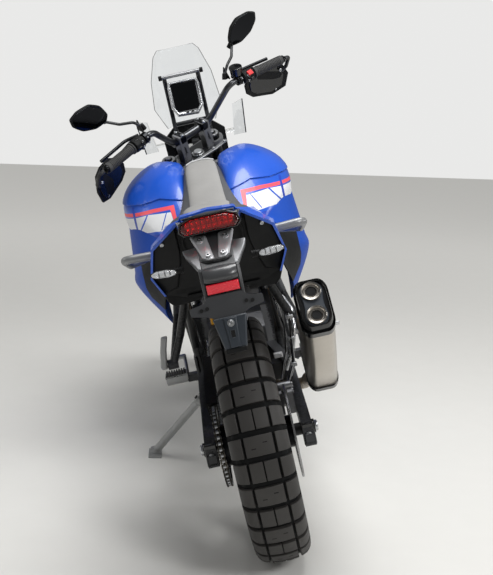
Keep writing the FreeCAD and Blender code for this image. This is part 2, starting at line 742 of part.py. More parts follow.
def exhaust_pipes():
    front = float(dims.engine_front)
    radius = float(dims.header_radius)
    under = float(dims.clearance_height + dims.panel_thickness) + radius + 12
    face = front + 18
    top = [(face - 2, 690), (front + 72, 664), (front + 68, 560), (front + 26, 420),
           (front + 24, 330), (front - 20, under)]
    right = [Vector(x, -42, z) for x, z in top]
    right += [Vector(front - 320, -60, under), Vector(front - 420, -120, under + 8),
              Vector(PIVOT.x - 30, -178, under + 26), Vector(PIVOT.x - 150, -188, 322),
              Vector(290, -198, 362)]
    left = [Vector(x, 42, z) for x, z in top]
    left += [Vector(front - 150, 42, under), Vector(front - 230, -20, under),
             Vector(front - 322, -58, under)]
    line = (SILENCER_REAR - SILENCER_FRONT).normalize()
    last = tube([right[-2], right[-1], SILENCER_FRONT - line * 100, SILENCER_FRONT - line * GAP],
                dims.exhaust_radius, 60)
    joint = Part.makeSphere(float(dims.exhaust_radius) + 2, right[-2])
    collector = Part.makeSphere(radius + 12, right[6])
    pipes = [tube(right[:-1], radius, 45), tube(left, radius, 45), last, joint, collector]
    flanges = [rod((face, side * 42, 689), (face + 9, side * 42, 685), 27) for side in (-1, 1)]
    block_face = prism(((front - 60, 560), (front + 5, 660), (front + 18, 725), (front - 60, 760)),
                       130)
    shape = join(pipes + flanges).cut(block_face)
    solid_part("exhaust_pipes", shape, "chassis")


def silencer():
    """An eight-sided can drawn along x, then turned onto its line."""
    line = SILENCER_REAR - SILENCER_FRONT
    length = line.Length
    half_y, half_z = float(dims.silencer_half_width), float(dims.silencer_half_height)

    def section(x, share):
        wide, high = half_y * share, half_z * share
        corner = 24 * share
        ring = [(wide, high - corner), (wide - corner, high), (corner - wide, high),
                (-wide, high - corner), (-wide, corner - high), (corner - wide, -high),
                (wide - corner, -high), (wide, corner - high)]
        return [Vector(x, y, z) for y, z in ring]

    can = loft([section(0, 0.45), section(70, 0.98), section(length - 40, 1.0),
                section(length, 0.86)])
    radius = float(dims.outlet_radius)
    for up in (-31, 31):
        can = can.cut(Part.makeCylinder(radius - 7, 60, Vector(length - 45, 0, up), X_AXIS))
        ring = Part.makeCylinder(radius, 13, Vector(length - 5, 0, up), X_AXIS)
        mouth = Part.makeCylinder(radius - 7, 40, Vector(length - 20, 0, up), X_AXIS)
        can = can.fuse(ring.cut(mouth))
    can.Placement = Placement(SILENCER_FRONT, Rotation(X_AXIS, line))
    solid_part("silencer", can, "chassis")


exhaust_pipes()
silencer()


# Seat: columns are x, top, width share, underside

SEAT = ((-183, 999, 0.64, 948), (0, 986, 0.88, 925), (150, 966, 0.98, 896), (400, 908, 1.0, 848),
        (560, 915, 0.92, 852), (650, 955, 0.72, 874), (760, 1015, 0.60, 905),
        (835, 1054, 0.54, 938), (892, 1048, 0.46, 962))


def seat_sections(grow):
    """The seat's outlines, made larger all round by a distance."""
    widest = float(dims.seat_half_width)
    sections = []
    for index, (x, top, share, under) in enumerate(SEAT):
        half = widest * share + grow
        edge = min(62.0 + grow, half - 6)
        end = -grow if index == 0 else (grow if index == len(SEAT) - 1 else 0.0)
        sections.append(mirrored_section(x + end, ((edge, top + grow), (half, top - 30),
                                                   (half - 4, under - grow))))
    return sections


def seat():
    """The seat, with two feet down to the rear cross tube."""
    cross_x, cross_top = TAIL_RAIL_X + 14, 902 + GAP
    feet = both_sides(rod((cross_x, 40, cross_top), (cross_x, 40, 940), 8))
    solid_part("seat", join([loft(seat_sections(0.0))] + feet), "chassis")


seat()


# Tank: columns are x, saddle z, crest (y, z), shoulder (y, z), widest share and z,
# under (y share, z), floor z

TANK = (
    (640, 850, 70, 856, 118, 852, 0.56, 812, 0.52, 772, 790),
    (760, 900, 80, 968, 150, 962, 0.82, 884, 0.76, 792, 798),
    (880, 955, 80, 1030, 165, 1022, 0.975, 920, 0.91, 800, 808),
    (1000, 985, 84, 1058, 172, 1046, 1.0, 938, 0.945, 816, 835),
    (1120, 985, 90, 1060, 168, 1046, 0.93, 948, 0.885, 836, 862),
    (1235, 930, 120, 985, 185, 978, 0.80, 930, 0.76, 868, 880),
)


def sweep_room(low, high):
    """The room that yokes and fork sweep, about the steering axis."""
    return rod(head_point(0, 0, low), head_point(0, 0, high), dims.sweep_radius)


def fuel_tank():
    widest = float(dims.tank_half_width)
    sections = []
    for x, saddle, crest_y, crest_z, shoulder_y, shoulder_z, wide, wide_z, low, low_z, floor in TANK:
        half = ((60, saddle), (crest_y, crest_z), (shoulder_y, shoulder_z), (widest * wide, wide_z),
                (widest * low, low_z), (150, floor))
        if x == TANK[0][0]:
            half = half[:-1] + ((110, floor),)
        sections.append(mirrored_section(HEAD_X - 1190 + x, half))
    shape = loft(sections)
    shape = shape.cut(sweep_room(820, 1420))
    shape = shape.cut(loft(seat_sections(1.0)))
    frame_room = both_sides(tube(spar_points()[:4], dims.spar_radius + 4, 70))
    frame_room += both_sides(tube([DOWN_TOP, DOWN_KNEE], dims.down_tube_radius + 4))
    frame_room.append(rod((HEAD_X - 150, -112, 842), (HEAD_X - 150, 112, 842), 12 + GAP))
    for room in frame_room:
        shape = shape.cut(room)
    solid_part("fuel_tank", shape, "chassis")


fuel_tank()


# Side fairings: columns are tank row, middle (y share, z), lower (y share, z)

FAIRING = ((0, 0.66, 735, 0.655, 660), (1, 0.92, 665, 0.74, 560), (2, 1.01, 640, 0.70, 488),
           (3, 1.02, 650, 0.74, 505), (4, 0.94, 690, 0.76, 590), (5, 0.80, 760, 0.72, 690))


def side_fairings():
    widest, thick = float(dims.tank_half_width), float(dims.panel_thickness)
    sections = []
    for row, mid, mid_z, low, low_z in FAIRING:
        columns = TANK[row]
        x, wide, wide_z, under, under_z = columns[0], columns[6], columns[7], columns[8], columns[9]
        share = 0.45
        top_y = widest * (wide + (under - wide) * share) + GAP
        top_z = wide_z + (under_z - wide_z) * share
        place = HEAD_X - 1190 + x
        sections.append([Vector(place, top_y, top_z), Vector(place, top_y + thick, top_z),
                         Vector(place, widest * mid + thick, mid_z),
                         Vector(place, widest * low + thick, low_z),
                         Vector(place, widest * low, low_z), Vector(place, widest * mid, mid_z),
                         Vector(place, widest * under + GAP + 1, under_z)])
    panel = loft(sections)
    solid_part("side_fairings", Part.makeCompound(both_sides(panel)), "chassis")


side_fairings()


# Tail: body-coloured shell, black cover behind it, lamp, carrier and plate bracket

TAIL_TOP = 1006.0
TAIL_EDGE = ((66, 997), (153, 935), (172, 858), (150, 804))
TAIL_SLOPE = 0.396


def tail_edge_x(z):
    """The tail's rear edge leans back towards the top."""
    return -150 - TAIL_SLOPE * (z - 804)


def band(corners, thick, place):
    """Outline of a panel: its outer (y, z) corners, then the inner ones back again."""
    inner = [(y - thick * (1 if index else 0.4), z - (thick if index < 2 else 0))
             for index, (y, z) in enumerate(corners)]
    return [Vector(place(z), y, z) for y, z in list(corners) + inner[::-1]]


def tail_panels():
    thick = float(dims.panel_thickness)
    stations = ((-60, ((104, 966), (160, 922), (174, 852), (152, 796))),
                (150, ((124, 934), (160, 890), (166, 828), (150, 775))),
                (360, ((136, 872), (154, 842), (156, 796), (146, 752))))
    sections = [band(TAIL_EDGE, thick, tail_edge_x)]
    for x, corners in stations:
        sections.append(band(corners, thick, lambda z, x=x: x))
    side = loft(sections)
    top_x = tail_edge_x(TAIL_TOP)
    bridge_face = [Vector(top_x, -70, 996), Vector(top_x, -66, 1001), Vector(top_x, 0, TAIL_TOP),
                   Vector(top_x, 66, 1001), Vector(top_x, 70, 996), Vector(top_x, 0, 1001)]
    bridge = Part.Face(ring_wire(bridge_face)).extrude(Vector(-192 - top_x, 0, 0))
    solid_part("tail_panels", join(both_sides(side) + [bridge]), "chassis")
    return side


def tail_cover():
    """Black moulding inside the rear edge, down to the mudguard."""
    half = ((62, 991), (150, 931), (169, 858), (147, 806), (96, 786))
    face = mirrored_section(0, half)
    sections = [[Vector(tail_edge_x(p.z) + 12 + shift, p.y, p.z) for p in face] for shift in (0, 8)]
    plate = seated(loft(sections), TAIL_SIDE, -1)
    plate = seated(plate, TAIL_SIDE.mirror(Vector(), Y_AXIS), 1)
    front = FRAME_REAR - GAP
    lower = prism(((-140, 800), (-150, 936), (front, 905), (front, 790)), 118)
    flap = prism(((-140, 792), (-60, 790), (180, 720), (180, 712), (-66, 782), (-140, 784)), 92)
    solid_part("tail_cover", join([plate, lower, flap]), "chassis")


def tail_light():
    """A long six-sided lamp on a housing that reaches the tail."""
    body = new_body("tail_light")
    lamp = draw(body, "lamp_outline", "YZ_Plane",
                [(-70, 979), (-56, 963), (56, 963), (70, 979), (56, 996), (-56, 996)], -290)
    feature(body, "Pad", lamp, 34, both=False)
    doc.recompute()
    back = draw(body, "lamp_back", "YZ_Plane",
                [(-58, 966), (58, 966), (58, 988), (-58, 988)], -257)
    feature(body, "Pad", back, 45.8, both=False)
    doc.recompute()
    keep(body, "chassis")


def plate_carrier():
    """Arm behind the tail that holds the plate bracket and the rear indicators."""
    front = 12 - GAP
    arm = prism(((tail_edge_x(960) + front, 960), (-232, 955), (-345, 884), (-366, 852), (-362, 822),
                 (-330, 812), (-280, 850), (tail_edge_x(868) + front, 868)), 46)
    hood = prism(((-318, 905), (-345, 890), (-362, 862), (-330, 872)), 54)
    ears = []
    for side in (-1, 1):
        ears.append(prism(((-250, 940), (-300, 909), (-304, 925), (-254, 956)), 14, side * 26))
    arm = join([arm, hood] + ears)
    solid_part("plate_carrier", arm, "chassis")


def plate_bracket():
    """A winged plate with four holes, over a tongue with the lower fixing."""
    body = new_body("plate_bracket")
    spacing = dims.plate_hole_spacing
    wing = draw(body, "wing_outline", "YZ_Plane",
                [(-86, 12), (-52, 18), (-40, 30), (40, 30), (52, 18), (86, 12), (86, -6),
                 (50, -14), (34, -22), (22, -92), (-22, -92), (-34, -22), (-50, -14), (-86, -6)])
    feature(body, "Pad", wing, 5, both=False)
    doc.recompute()
    holes = ((spacing / 2, 3), (-spacing / 2, 3), (spacing / 2 - 14, 5), (14 - spacing / 2, 5),
             (0, -40))
    for index, (y, z) in enumerate(holes):
        hole = draw_circle(body, "plate_hole_%d" % index, "YZ_Plane", y, z, dims.plate_hole_radius)
        feature(body, "Pocket", hole, 40)
        doc.recompute()
    keep(body, "plate_bracket_group")


TAIL_SIDE = tail_panels()
tail_cover()
tail_light()
plate_carrier()
plate_bracket()
PLATE_BRACKET_SPOT = Placement(Vector(-375, 0, 796), Rotation(Y_AXIS, 14))


# Indicators, rear and front: a stalk and a lamp each

def indicators():
    shapes = []
    for x, y, z, root in ((-290, 128, 886, 46.5), ):
        lens = loft([[Vector(x - 10, y - 40, z - 8), Vector(x - 10, y - 30, z + 9),
                      Vector(x - 10, y + 34, z + 9), Vector(x - 10, y + 42, z),
                      Vector(x - 10, y + 34, z - 10), Vector(x - 10, y - 30, z - 11)],
                     [Vector(x + 14, y - 36, z - 6), Vector(x + 14, y - 27, z + 7),
                      Vector(x + 14, y + 30, z + 7), Vector(x + 14, y + 37, z),
                      Vector(x + 14, y + 30, z - 8), Vector(x + 14, y - 27, z - 9)]])
        stalk = rod((x + 2, root, z - 4), (x + 2, y - 30, z - 1), 7)
        shapes += both_sides(lens.fuse(stalk))
    front = HEAD_X + 192
    lens = block((front, 150, 938), (front + 24, 218, 960))
    stalk = rod((front + 8, 112 + GAP, 949), (front + 8, 152, 949), 7)
    shapes += both_sides(lens.fuse(stalk))
    solid_part("indicators", Part.makeCompound(shapes), "chassis")


# Grab rails: a bent bar on each side of the tail

def grab_rails():
    points = [Vector(-92, 163, 896), Vector(-96, 226, 905), Vector(120, 228, 902),
              Vector(200, 158, 862)]
    rail = seated(tube(points, 11, 34), TAIL_SIDE, 1)
    solid_part("grab_rails", Part.makeCompound(both_sides(rail)), "chassis")


grab_rails()


# Rear shock between the swingarm lug and the top cross tube

def rear_shock():
    """Coil-over shock turned about its own line, with its reservoir beside it."""
    top, foot = SHOCK_TOP, SHOCK_FOOT + Vector(0, 0, GAP)
    line = Vector(top - foot).normalize()
    start = foot + line * 9
    span = (top - foot).Length - 23.5 - GAP
    outline = [(0, 0), (9, 0), (9, 14), (37, 14), (37, 22)]
    count, pitch = 7, (span - 90) / 7
    for index in range(count):
        low = 26 + index * pitch
        outline += [(25, low), (35, low + 4), (35, low + 12), (25, low + 16)]
    outline += [(25, span - 60), (37, span - 58), (37, span - 50), (27, span - 46), (27, span - 12),
                (14, span - 6), (14, span), (0, span)]
    face = Part.Face(ring_wire([Vector(radius, 0, along) for radius, along in outline]))
    unit = face.revolve(Vector(), Z_AXIS, 360)
    unit.Placement = Placement(start, Rotation(Z_AXIS, line))
    can = rod(start + line * 76 + Vector(-12, 58, 10), start + line * 196 + Vector(-12, 58, 10), 18)
    neck = rod(top - line * 60, start + line * 190 + Vector(-12, 58, 10), 8)
    base = block((foot.x - 14, -12, foot.z), (foot.x + 14, 12, foot.z + 22))
    solid_part("rear_shock", join([unit, can, neck, base]), "chassis")


rear_shock()


# Brakes: callipers that straddle the discs

def calliper(disc_half, depth, out, tall):
    """A block with a slot for its disc; depth is along y, out and tall across."""
    body = Part.makeBox(out, 2 * depth, tall, Vector(-out / 2, -depth, -tall / 2))
    slot = Part.makeBox(out, 2 * disc_half, tall, Vector(-out / 2 - 12, -disc_half, -tall / 2))
    return body.cut(slot)


def rear_calliper():
    disc_y = -float(dims.rear_disc_y)
    half = float(dims.disc_thickness) / 2 + 5
    depth = float(dims.arm_inner_y - dims.rear_disc_y) - GAP
    shape = calliper(half, depth, 44, 86)
    radius = float(dims.rear_disc_radius) - 5
    turn = math.radians(62)
    place = REAR_CENTRE + Vector(radius * math.sin(turn), disc_y, radius * math.cos(turn))
    shape.Placement = Placement(place, Rotation(Y_AXIS, math.degrees(turn) - 90))
    solid_part("rear_calliper", shape, "chassis")


rear_calliper()


# Chain guard above the chain, on the swingarm

def chain_guard():
    y = float(dims.chain_y)
    outline = ((20, 452), (160, 470), (430, 470), (430, 464), (162, 464), (22, 446))
    top = prism(outline, 15, y)
    side = prism(((20, 452), (160, 470), (430, 470), (430, 440), (160, 432), (24, 420)),
                 2, y + 14)
    seat_z = (float(dims.rear_radius + dims.arm_half_height) + GAP
              + float(dims.pivot_z - dims.rear_radius) * 330 / PIVOT.x)
    foot = block((300, y + 12, seat_z), (330, y + 16, 445))
    tab = block((300, y + 12, seat_z), (330, float(dims.arm_inner_y) + 10, seat_z + 4))
    solid_part("chain_guard", join([top, side, foot, tab]), "chassis")


chain_guard()


# Footrests, their hangers and the foot levers

def rider_peg(side):
    """A serrated footrest pointing outwards."""
    z, root = float(dims.peg_height), 190.0
    x = PIVOT.x + 50
    end = root + float(dims.peg_length)
    plate = block((x - 26, root, z - 9), (x + 26, end, z + 5))
    teeth = [block((x - 26 + 8.4 * step, root, z + 5), (x - 22 + 8.4 * step, end, z + 12))
             for step in range(7)]
    holes = [Part.makeCylinder(8, 60, Vector(x, root + 18 + 22 * step, z - 40), Z_AXIS)
             for step in range(3)]
    shape = join([plate] + teeth)
    for hole in holes:
        shape = shape.cut(hole)
    return shape if side > 0 else shape.mirror(Vector(), Y_AXIS)


def footrests():
    shapes = [rider_peg(1), rider_peg(-1)]
    solid_part("footrests", Part.makeCompound(shapes), "chassis")


def peg_hangers():
    """Rider peg plates on the pivot tubes and passenger hangers under the seat rails."""
    x, z = PIVOT.x + 50, float(dims.peg_height)
    tube_y = float(dims.pivot_half_width + dims.spar_radius * 2) + 5.35
    plate = block((PIVOT.x - 22, tube_y, z - 40), (x + 22, tube_y + 8, z + 70))
    arm = block((x - 16, tube_y + 6, z - 22), (x + 16, 190 - GAP, z + 2))
    rider = join([plate, arm])
    hanger = join([tube([Vector(PIVOT.x - 190, 131.3, 777), Vector(PIVOT.x - 300, 192, 640),
                         Vector(250, 202, 520)], 10, 40),
                   tube([Vector(160, 128.5, 843), Vector(165, 126, 752), Vector(215, 192, 660),
                         Vector(250, 202, 520)], 10, 40),
                   rod((250, 190, 520), (250, 214, 520), 14)])
    passenger = rod((250, 218, 524), (244, 222, 602), 11)
    shapes = []
    for side in (rider, join([hanger, passenger])):
        shapes += both_sides(side)
    solid_part("peg_hangers", Part.makeCompound(shapes), "chassis")


def foot_levers():
    """Gear lever on the left, brake pedal on the right."""
    x, z = PIVOT.x + 50, float(dims.peg_height)
    gear = tube([Vector(x + 60, 166, z - 37), Vector(x + 90, 196, z - 32),
                 Vector(x + 205, 200, z + 10)], 6, 20)
    toe = rod((x + 200, 196, z + 10), (x + 200, 236, z + 10), 8)
    hub = rod((x + 60, 92 + GAP, z - 37), (x + 60, 172, z - 37), 9)
    brake = tube([Vector(x + 10, -175, z - 28.5), Vector(x + 110, -205, z - 28),
                  Vector(x + 215, -206, z + 6)], 6, 20)
    pad = block((x + 195, -236, z), (x + 232, -192, z + 12))
    sides = [join([gear, toe, hub]), join([brake, pad])]
    solid_part("foot_levers", Part.makeCompound(sides), "chassis")


footrests()
peg_hangers()
foot_levers()


# Nose: bracket on the head, fairing, headlight, dash and windscreen

DASH_SPOT = Placement(Vector(HEAD_X - 12, 0, 1228), Rotation(Y_AXIS, 15))


def screen_bracket():
    """A bar forward of the head, then uprights that carry nose, dash and screen."""
    root = float(dims.head_radius) + GAP
    knot = Vector(HEAD_X + 158, 0, 985)
    ends = ((-14, -21), (14, -21), (14, 21), (-14, 21))
    stem = loft([[head_point(root, y, 1035 + z) for y, z in ends],
                 [knot + Vector(0, y, z) for y, z in ends]])
    cross = block((knot.x - 6, -72, knot.z - 12), (knot.x + 8, 72, knot.z + 12))
    upright = tube([Vector(knot.x, 62, knot.z), Vector(HEAD_X + 128, 64, 1130),
                    Vector(HEAD_X + 26, 58, 1335)], 7, 60)
    bar = rod((HEAD_X + 26, -76, 1332), (HEAD_X + 26, 76, 1332), dims.accessory_bar_radius)
    rung = DASH_SPOT.multVec(Vector(105 + 5 + GAP, 0, 0))
    rungs = [rod((rung.x, -62, rung.z), (rung.x, 62, rung.z), 5)]
    boss = rod((HEAD_X + 103, 64, 1180), (HEAD_X + 163, 64, 1180), 5)
    screen = windscreen_sheet()
    screen.translate(Vector(-GAP, 0, 0))
    bosses = both_sides(boss.cut(screen).Solids[0])
    pieces = [stem, cross, bar] + rungs + bosses + both_sides(upright)
    solid_part("screen_bracket", join(pieces), "chassis")


def nose_fairing():
    rows = ((HEAD_X + 172, 118, 872, 1118), (HEAD_X + 215, 116, 880, 1120),
            (HEAD_X + 262, 92, 905, 1085), (HEAD_X + 284, 62, 940, 1050))
    sections = []
    for x, half, low, high in rows:
        sections.append(mirrored_section(x, ((half * 0.6, high), (half, high - 40),
                                             (half * 0.95, low + 45), (half * 0.55, low))))
    shape = loft(sections)
    hollow = block((HEAD_X + 100, -84, 925), (HEAD_X + 225, 84, 1060))
    front_hole = block((HEAD_X + 200, -56, 948), (HEAD_X + 320, 56, 1042))
    shape = shape.cut(hollow).cut(front_hole).cut(sweep_room(820, 1420))
    solid_part("nose_fairing", shape, "chassis")


def headlight():
    front = HEAD_X + 282
    lamp = prism(((HEAD_X + 228, 950), (front, 950), (front + 4, 1000), (front - 8, 1040),
                  (HEAD_X + 228, 1040)), 56 - GAP)
    stalk = block((HEAD_X + 166 + GAP, -20, 975), (HEAD_X + 232, 20, 997))
    solid_part("headlight", join([lamp, stalk]), "chassis")


def dash():
    """A tall screen that leans back towards the rider."""
    body = new_body("dash")
    face = draw(body, "dash_outline", "YZ_Plane",
                [(-50, -48), (-42, -60), (42, -60), (50, -48), (50, 50), (42, 60), (-42, 60),
                 (-50, 50)])
    feature(body, "Pad", face, 22, both=False)
    doc.recompute()
    back = draw(body, "dash_back", "YZ_Plane", [(-20, -20), (20, -20), (20, 20), (-20, 20)], 20)
    feature(body, "Pad", back, 85, both=False)
    doc.recompute()
    keep(body, "dash_group")


def arc_band(x, z, half, bulge, thick):
    """A thin curved strip across the machine: outer arc, inner arc and two ends."""
    outer = Part.Arc(Vector(x, -half, z), Vector(x + bulge, 0, z), Vector(x, half, z)).toShape()
    inner = Part.Arc(Vector(x - thick, half - 2, z), Vector(x + bulge - thick, 0, z),
                     Vector(x - thick, 2 - half, z)).toShape()
    ends = [Part.LineSegment(Vector(x, half, z), Vector(x - thick, half - 2, z)).toShape(),
            Part.LineSegment(Vector(x - thick, 2 - half, z), Vector(x, -half, z)).toShape()]
    return Part.Wire([outer, ends[0], inner, ends[1]])


def windscreen_sheet():
    thick = float(dims.screen_thickness)
    rows = ((HEAD_X + 130, 1120, 92, 88), (HEAD_X + 92, 1200, 124, 82),
            (HEAD_X + 40, 1300, 112, 60), (HEAD_X - 6, 1385, 84, 40), (HEAD_X - 14, 1406, 66, 30))
    bands = [arc_band(x, z, half, bulge, thick) for x, z, half, bulge in rows]
    return Part.makeLoft(bands, True, True)


def windscreen():
    """The screen and a small clear wing on each side of the nose."""
    screen = windscreen_sheet()
    thick = float(dims.screen_thickness)
    edges = (((60, 186, 1050), (20, 196, 1176)), ((190, 146, 1040), (116, 162, 1160)))
    sheet = []
    for (low_x, low_y, low_z), (high_x, high_y, high_z) in edges:
        sheet.append([Vector(HEAD_X + low_x, low_y, low_z),
                      Vector(HEAD_X + low_x, low_y + thick, low_z),
                      Vector(HEAD_X + high_x, high_y + thick, high_z),
                      Vector(HEAD_X + high_x, high_y, high_z)])
    wing = loft(sheet)
    spacer = rod((HEAD_X + 180, 117.7 + GAP, 1062), (HEAD_X + 180, 152, 1062), 7)
    shapes = [screen] + both_sides(wing.fuse(spacer))
    solid_part("windscreen", Part.makeCompound(shapes), "chassis")


screen_bracket()
nose_fairing()
headlight()
dash()
windscreen()
indicators()


# Steering pieces, drawn along the steering axis: x forward of it, z up along it

SPACING = float(dims.fork_spacing)
OFFSET = float(dims.fork_offset)
YOKE_LOW = float(dims.yoke_low)
YOKE_HIGH = float(dims.yoke_high)
YOKE_THICK = float(dims.yoke_thickness)
BAR_Z = YOKE_HIGH + YOKE_THICK + 84
BAR_X = 16.0


def yokes():
    """Both yokes, the stem between them, and the risers under the handlebar."""
    pieces = []
    clamp = float(dims.stanchion_radius)
    for low in (YOKE_LOW, YOKE_HIGH):
        middle = block((-28, -34, low), (OFFSET + 12, 34, low + YOKE_THICK))
        arms = block((OFFSET - 24, -SPACING, low), (OFFSET + 22, SPACING, low + YOKE_THICK))
        rings = [Part.makeCylinder(clamp + 11, YOKE_THICK, Vector(OFFSET, side * SPACING, low))
                 for side in (-1, 1)]
        pieces += [middle, arms] + rings
    shape = join(pieces)
    for side in (-1, 1):
        shape = shape.cut(Part.makeCylinder(clamp + GAP, 900, Vector(OFFSET, side * SPACING, 700)))
    stem = Part.makeCylinder(float(dims.stem_radius), YOKE_HIGH - YOKE_LOW, Vector(0, 0, YOKE_LOW + 4))
    nut = Part.makeCylinder(18, 12, Vector(0, 0, YOKE_HIGH + YOKE_THICK - 1))
    risers = []
    for side in (-1, 1):
        riser = loft([[Vector(x, side * 55 + y, YOKE_HIGH + YOKE_THICK - 1)
                       for x, y in ((-14, -16), (18, -16), (18, 16), (-14, 16))],
                      [Vector(x + 4, side * 55 + y, BAR_Z + 22)
                       for x, y in ((-10, -15), (30, -15), (30, 15), (-10, 15))]])
        risers.append(riser)
    shape = join([shape, stem, nut] + risers)
    shape = shape.cut(rod((BAR_X, -200, BAR_Z), (BAR_X, 200, BAR_Z), float(dims.bar_radius) + GAP))
    solid_part("yokes", shape, "steering")


# How far a front calliper reaches from its disc, away from the wheel and towards it.
CALLIPER_OUTER = 23.0
CALLIPER_INNER = 15.0


def fork():
    top = YOKE_HIGH + YOKE_THICK + 14
    low = AXLE_DOWN + 300
    stanchions = []
    for side in (-1, 1):
        foot = Vector(OFFSET, side * SPACING, low)
        outer = Part.makeCylinder(float(dims.stanchion_radius), top - low, foot)
        bore = Part.makeCylinder(float(dims.slider_radius) + GAP, 60, foot)
        cap = Part.makeCylinder(15, 8, Vector(OFFSET, side * SPACING, top))
        stanchions.append(outer.cut(bore).fuse(cap))
    solid_part("fork_tubes", Part.makeCompound(stanchions), "steering")
    sliders = []
    radius = float(dims.slider_radius)
    for side in (-1, 1):
        y = side * SPACING
        slider = Part.makeCylinder(radius, low + 58 - AXLE_DOWN, Vector(OFFSET, y, AXLE_DOWN))
        lug = Part.makeBox(70, 34, 84, Vector(OFFSET - 26, y - 17, AXLE_DOWN - 26))
        guard = Part.makeBox(8, 46, 190, Vector(OFFSET + radius + 3, y - 23, AXLE_DOWN + 40))
        foot = Part.makeBox(radius + 10, 30, 20, Vector(OFFSET, y - 15, AXLE_DOWN + 42))
        inner = float(dims.front_disc_y) - 8 + CALLIPER_OUTER + GAP
        ear = Part.makeBox(84, SPACING - 5 - inner, 60,
                           Vector(OFFSET - 96, inner if side > 0 else 5 - SPACING, AXLE_DOWN + 44))
        sliders.append(join([slider, lug, guard, foot, ear]))
    reach = SPACING + 22
    axle = Part.makeCylinder(float(dims.axle_radius), 2 * reach,
                             Vector(AXLE_OFFSET, -reach, AXLE_DOWN), Y_AXIS)
    spacer = float(dims.front_hub_half) + GAP
    collars = [rod((AXLE_OFFSET, side * spacer, AXLE_DOWN),
                   (AXLE_OFFSET, side * (SPACING - 15), AXLE_DOWN), 15) for side in (-1, 1)]
    solid_part("fork_sliders", join(sliders + [axle] + collars), "steering")


def front_callipers():
    """Each hangs on the ear behind its fork leg and straddles its disc."""
    half = float(dims.disc_thickness) / 2 + 5
    disc_y = float(dims.front_disc_y) - 8
    radius = float(dims.front_disc_radius) - 7
    turn = math.radians(-62)
    shapes = []
    for side in (-1, 1):
        low_y = -CALLIPER_INNER if side > 0 else -CALLIPER_OUTER
        shape = Part.makeBox(48, CALLIPER_INNER + CALLIPER_OUTER, 96, Vector(-24, low_y, -48))
        slot = Part.makeBox(40, 2 * half, 120, Vector(-28, -half, -60))
        shape = shape.cut(slot)
        spot = Vector(AXLE_OFFSET + radius * math.sin(turn), side * disc_y,
                      AXLE_DOWN + radius * math.cos(turn))
        shape.Placement = Placement(spot, Rotation(Y_AXIS, 180 + math.degrees(turn) + 90))
        shapes.append(shape)
    solid_part("front_callipers", Part.makeCompound(shapes), "steering")


def front_mudguard():
    """A curved cover over the tyre, with a stay to each fork leg."""
    inner, thick, half = float(dims.front_radius) + 14, 4.0, 62.0
    outline = [Vector(0, -half, inner - 26), Vector(0, -half + 16, inner), Vector(0, half - 16, inner),
               Vector(0, half, inner - 26), Vector(0, half + thick, inner - 26),
               Vector(0, half - 14, inner + thick), Vector(0, 14 - half, inner + thick),
               Vector(0, -half - thick, inner - 26)]
    face = Part.Face(ring_wire(outline))
    face.rotate(Vector(), Y_AXIS, 62)
    guard = face.revolve(Vector(), Y_AXIS, -128)
    guard.translate(Vector(AXLE_OFFSET, 0, AXLE_DOWN))
    level = AXLE_DOWN + 322
    reach = SPACING - float(dims.stanchion_radius) - GAP
    stay = block((OFFSET - 22, half - 1, level), (OFFSET + 22, reach, level + 40))
    solid_part("front_mudguard", join([guard] + both_sides(stay)), "steering")


def bar_points():
    """The left half of the handlebar, from the middle to the end."""
    rise, half = float(dims.bar_rise), float(dims.bar_half_width)
    return [Vector(BAR_X, 0, BAR_Z), Vector(BAR_X, 82, BAR_Z), Vector(-24, 182, rise + 4),
            Vector(-60, half, rise - 2)]


def handlebar():
    half = tube(bar_points(), 11, 60)
    thick = rod((BAR_X, -86, BAR_Z), (BAR_X, 86, BAR_Z), dims.bar_radius)
    solid_part("handlebar", join(both_sides(half) + [thick]), "steering")


def along_grip(distance):
    """A point on the left grip line, measured from the bar's end inwards."""
    points = bar_points()
    inward = Vector(points[-2] - points[-1]).normalize()
    return points[-1] + inward * distance


def on_bar(start, end, radius):
    """A sleeve on the left half of the bar."""
    sleeve = rod(along_grip(start), along_grip(end), radius)
    bore = rod(along_grip(-30), along_grip(300), 11 + GAP)
    return sleeve.cut(bore)


def grips():
    sleeves = [on_bar(12, 136, dims.grip_radius), on_bar(8, 13, dims.grip_radius + 3),
               on_bar(134, 140, dims.grip_radius + 4)]
    weight = rod(along_grip(-16), along_grip(-GAP), 15)
    shapes = []
    for piece in (join(sleeves), weight):
        shapes += both_sides(piece)
    solid_part("grips", Part.makeCompound(shapes), "steering")


def switchgear():
    """Switch boxes, lever clamps and the brake fluid cup on the right."""
    box = on_bar(142, 186, 24)
    clamp = on_bar(190, 212, 20)
    nub = rod(along_grip(200), along_grip(200) + Vector(28, 0, 0), 9)
    bore = rod(along_grip(-30), along_grip(300), 11 + GAP)
    left = [box, join([clamp, nub.cut(bore)])]
    right = [shape.mirror(Vector(), Y_AXIS) for shape in left]
    cup_spot = along_grip(205)
    cup = block((cup_spot.x + 12, -cup_spot.y - 24, cup_spot.z + 10),
                (cup_spot.x + 52, -cup_spot.y + 24, cup_spot.z + 38))
    right[1] = right[1].fuse(cup)
    solid_part("switchgear", Part.makeCompound(left + right), "steering")


def levers():
    root = along_grip(200) + Vector(28 + GAP + 6, 0, 0)
    tip = along_grip(28) + Vector(56, 0, -4)
    middle = along_grip(150) + Vector(58, 0, -2)
    lever = tube([root, middle, tip], 6, 40)
    solid_part("levers", Part.makeCompound(both_sides(lever)), "steering")


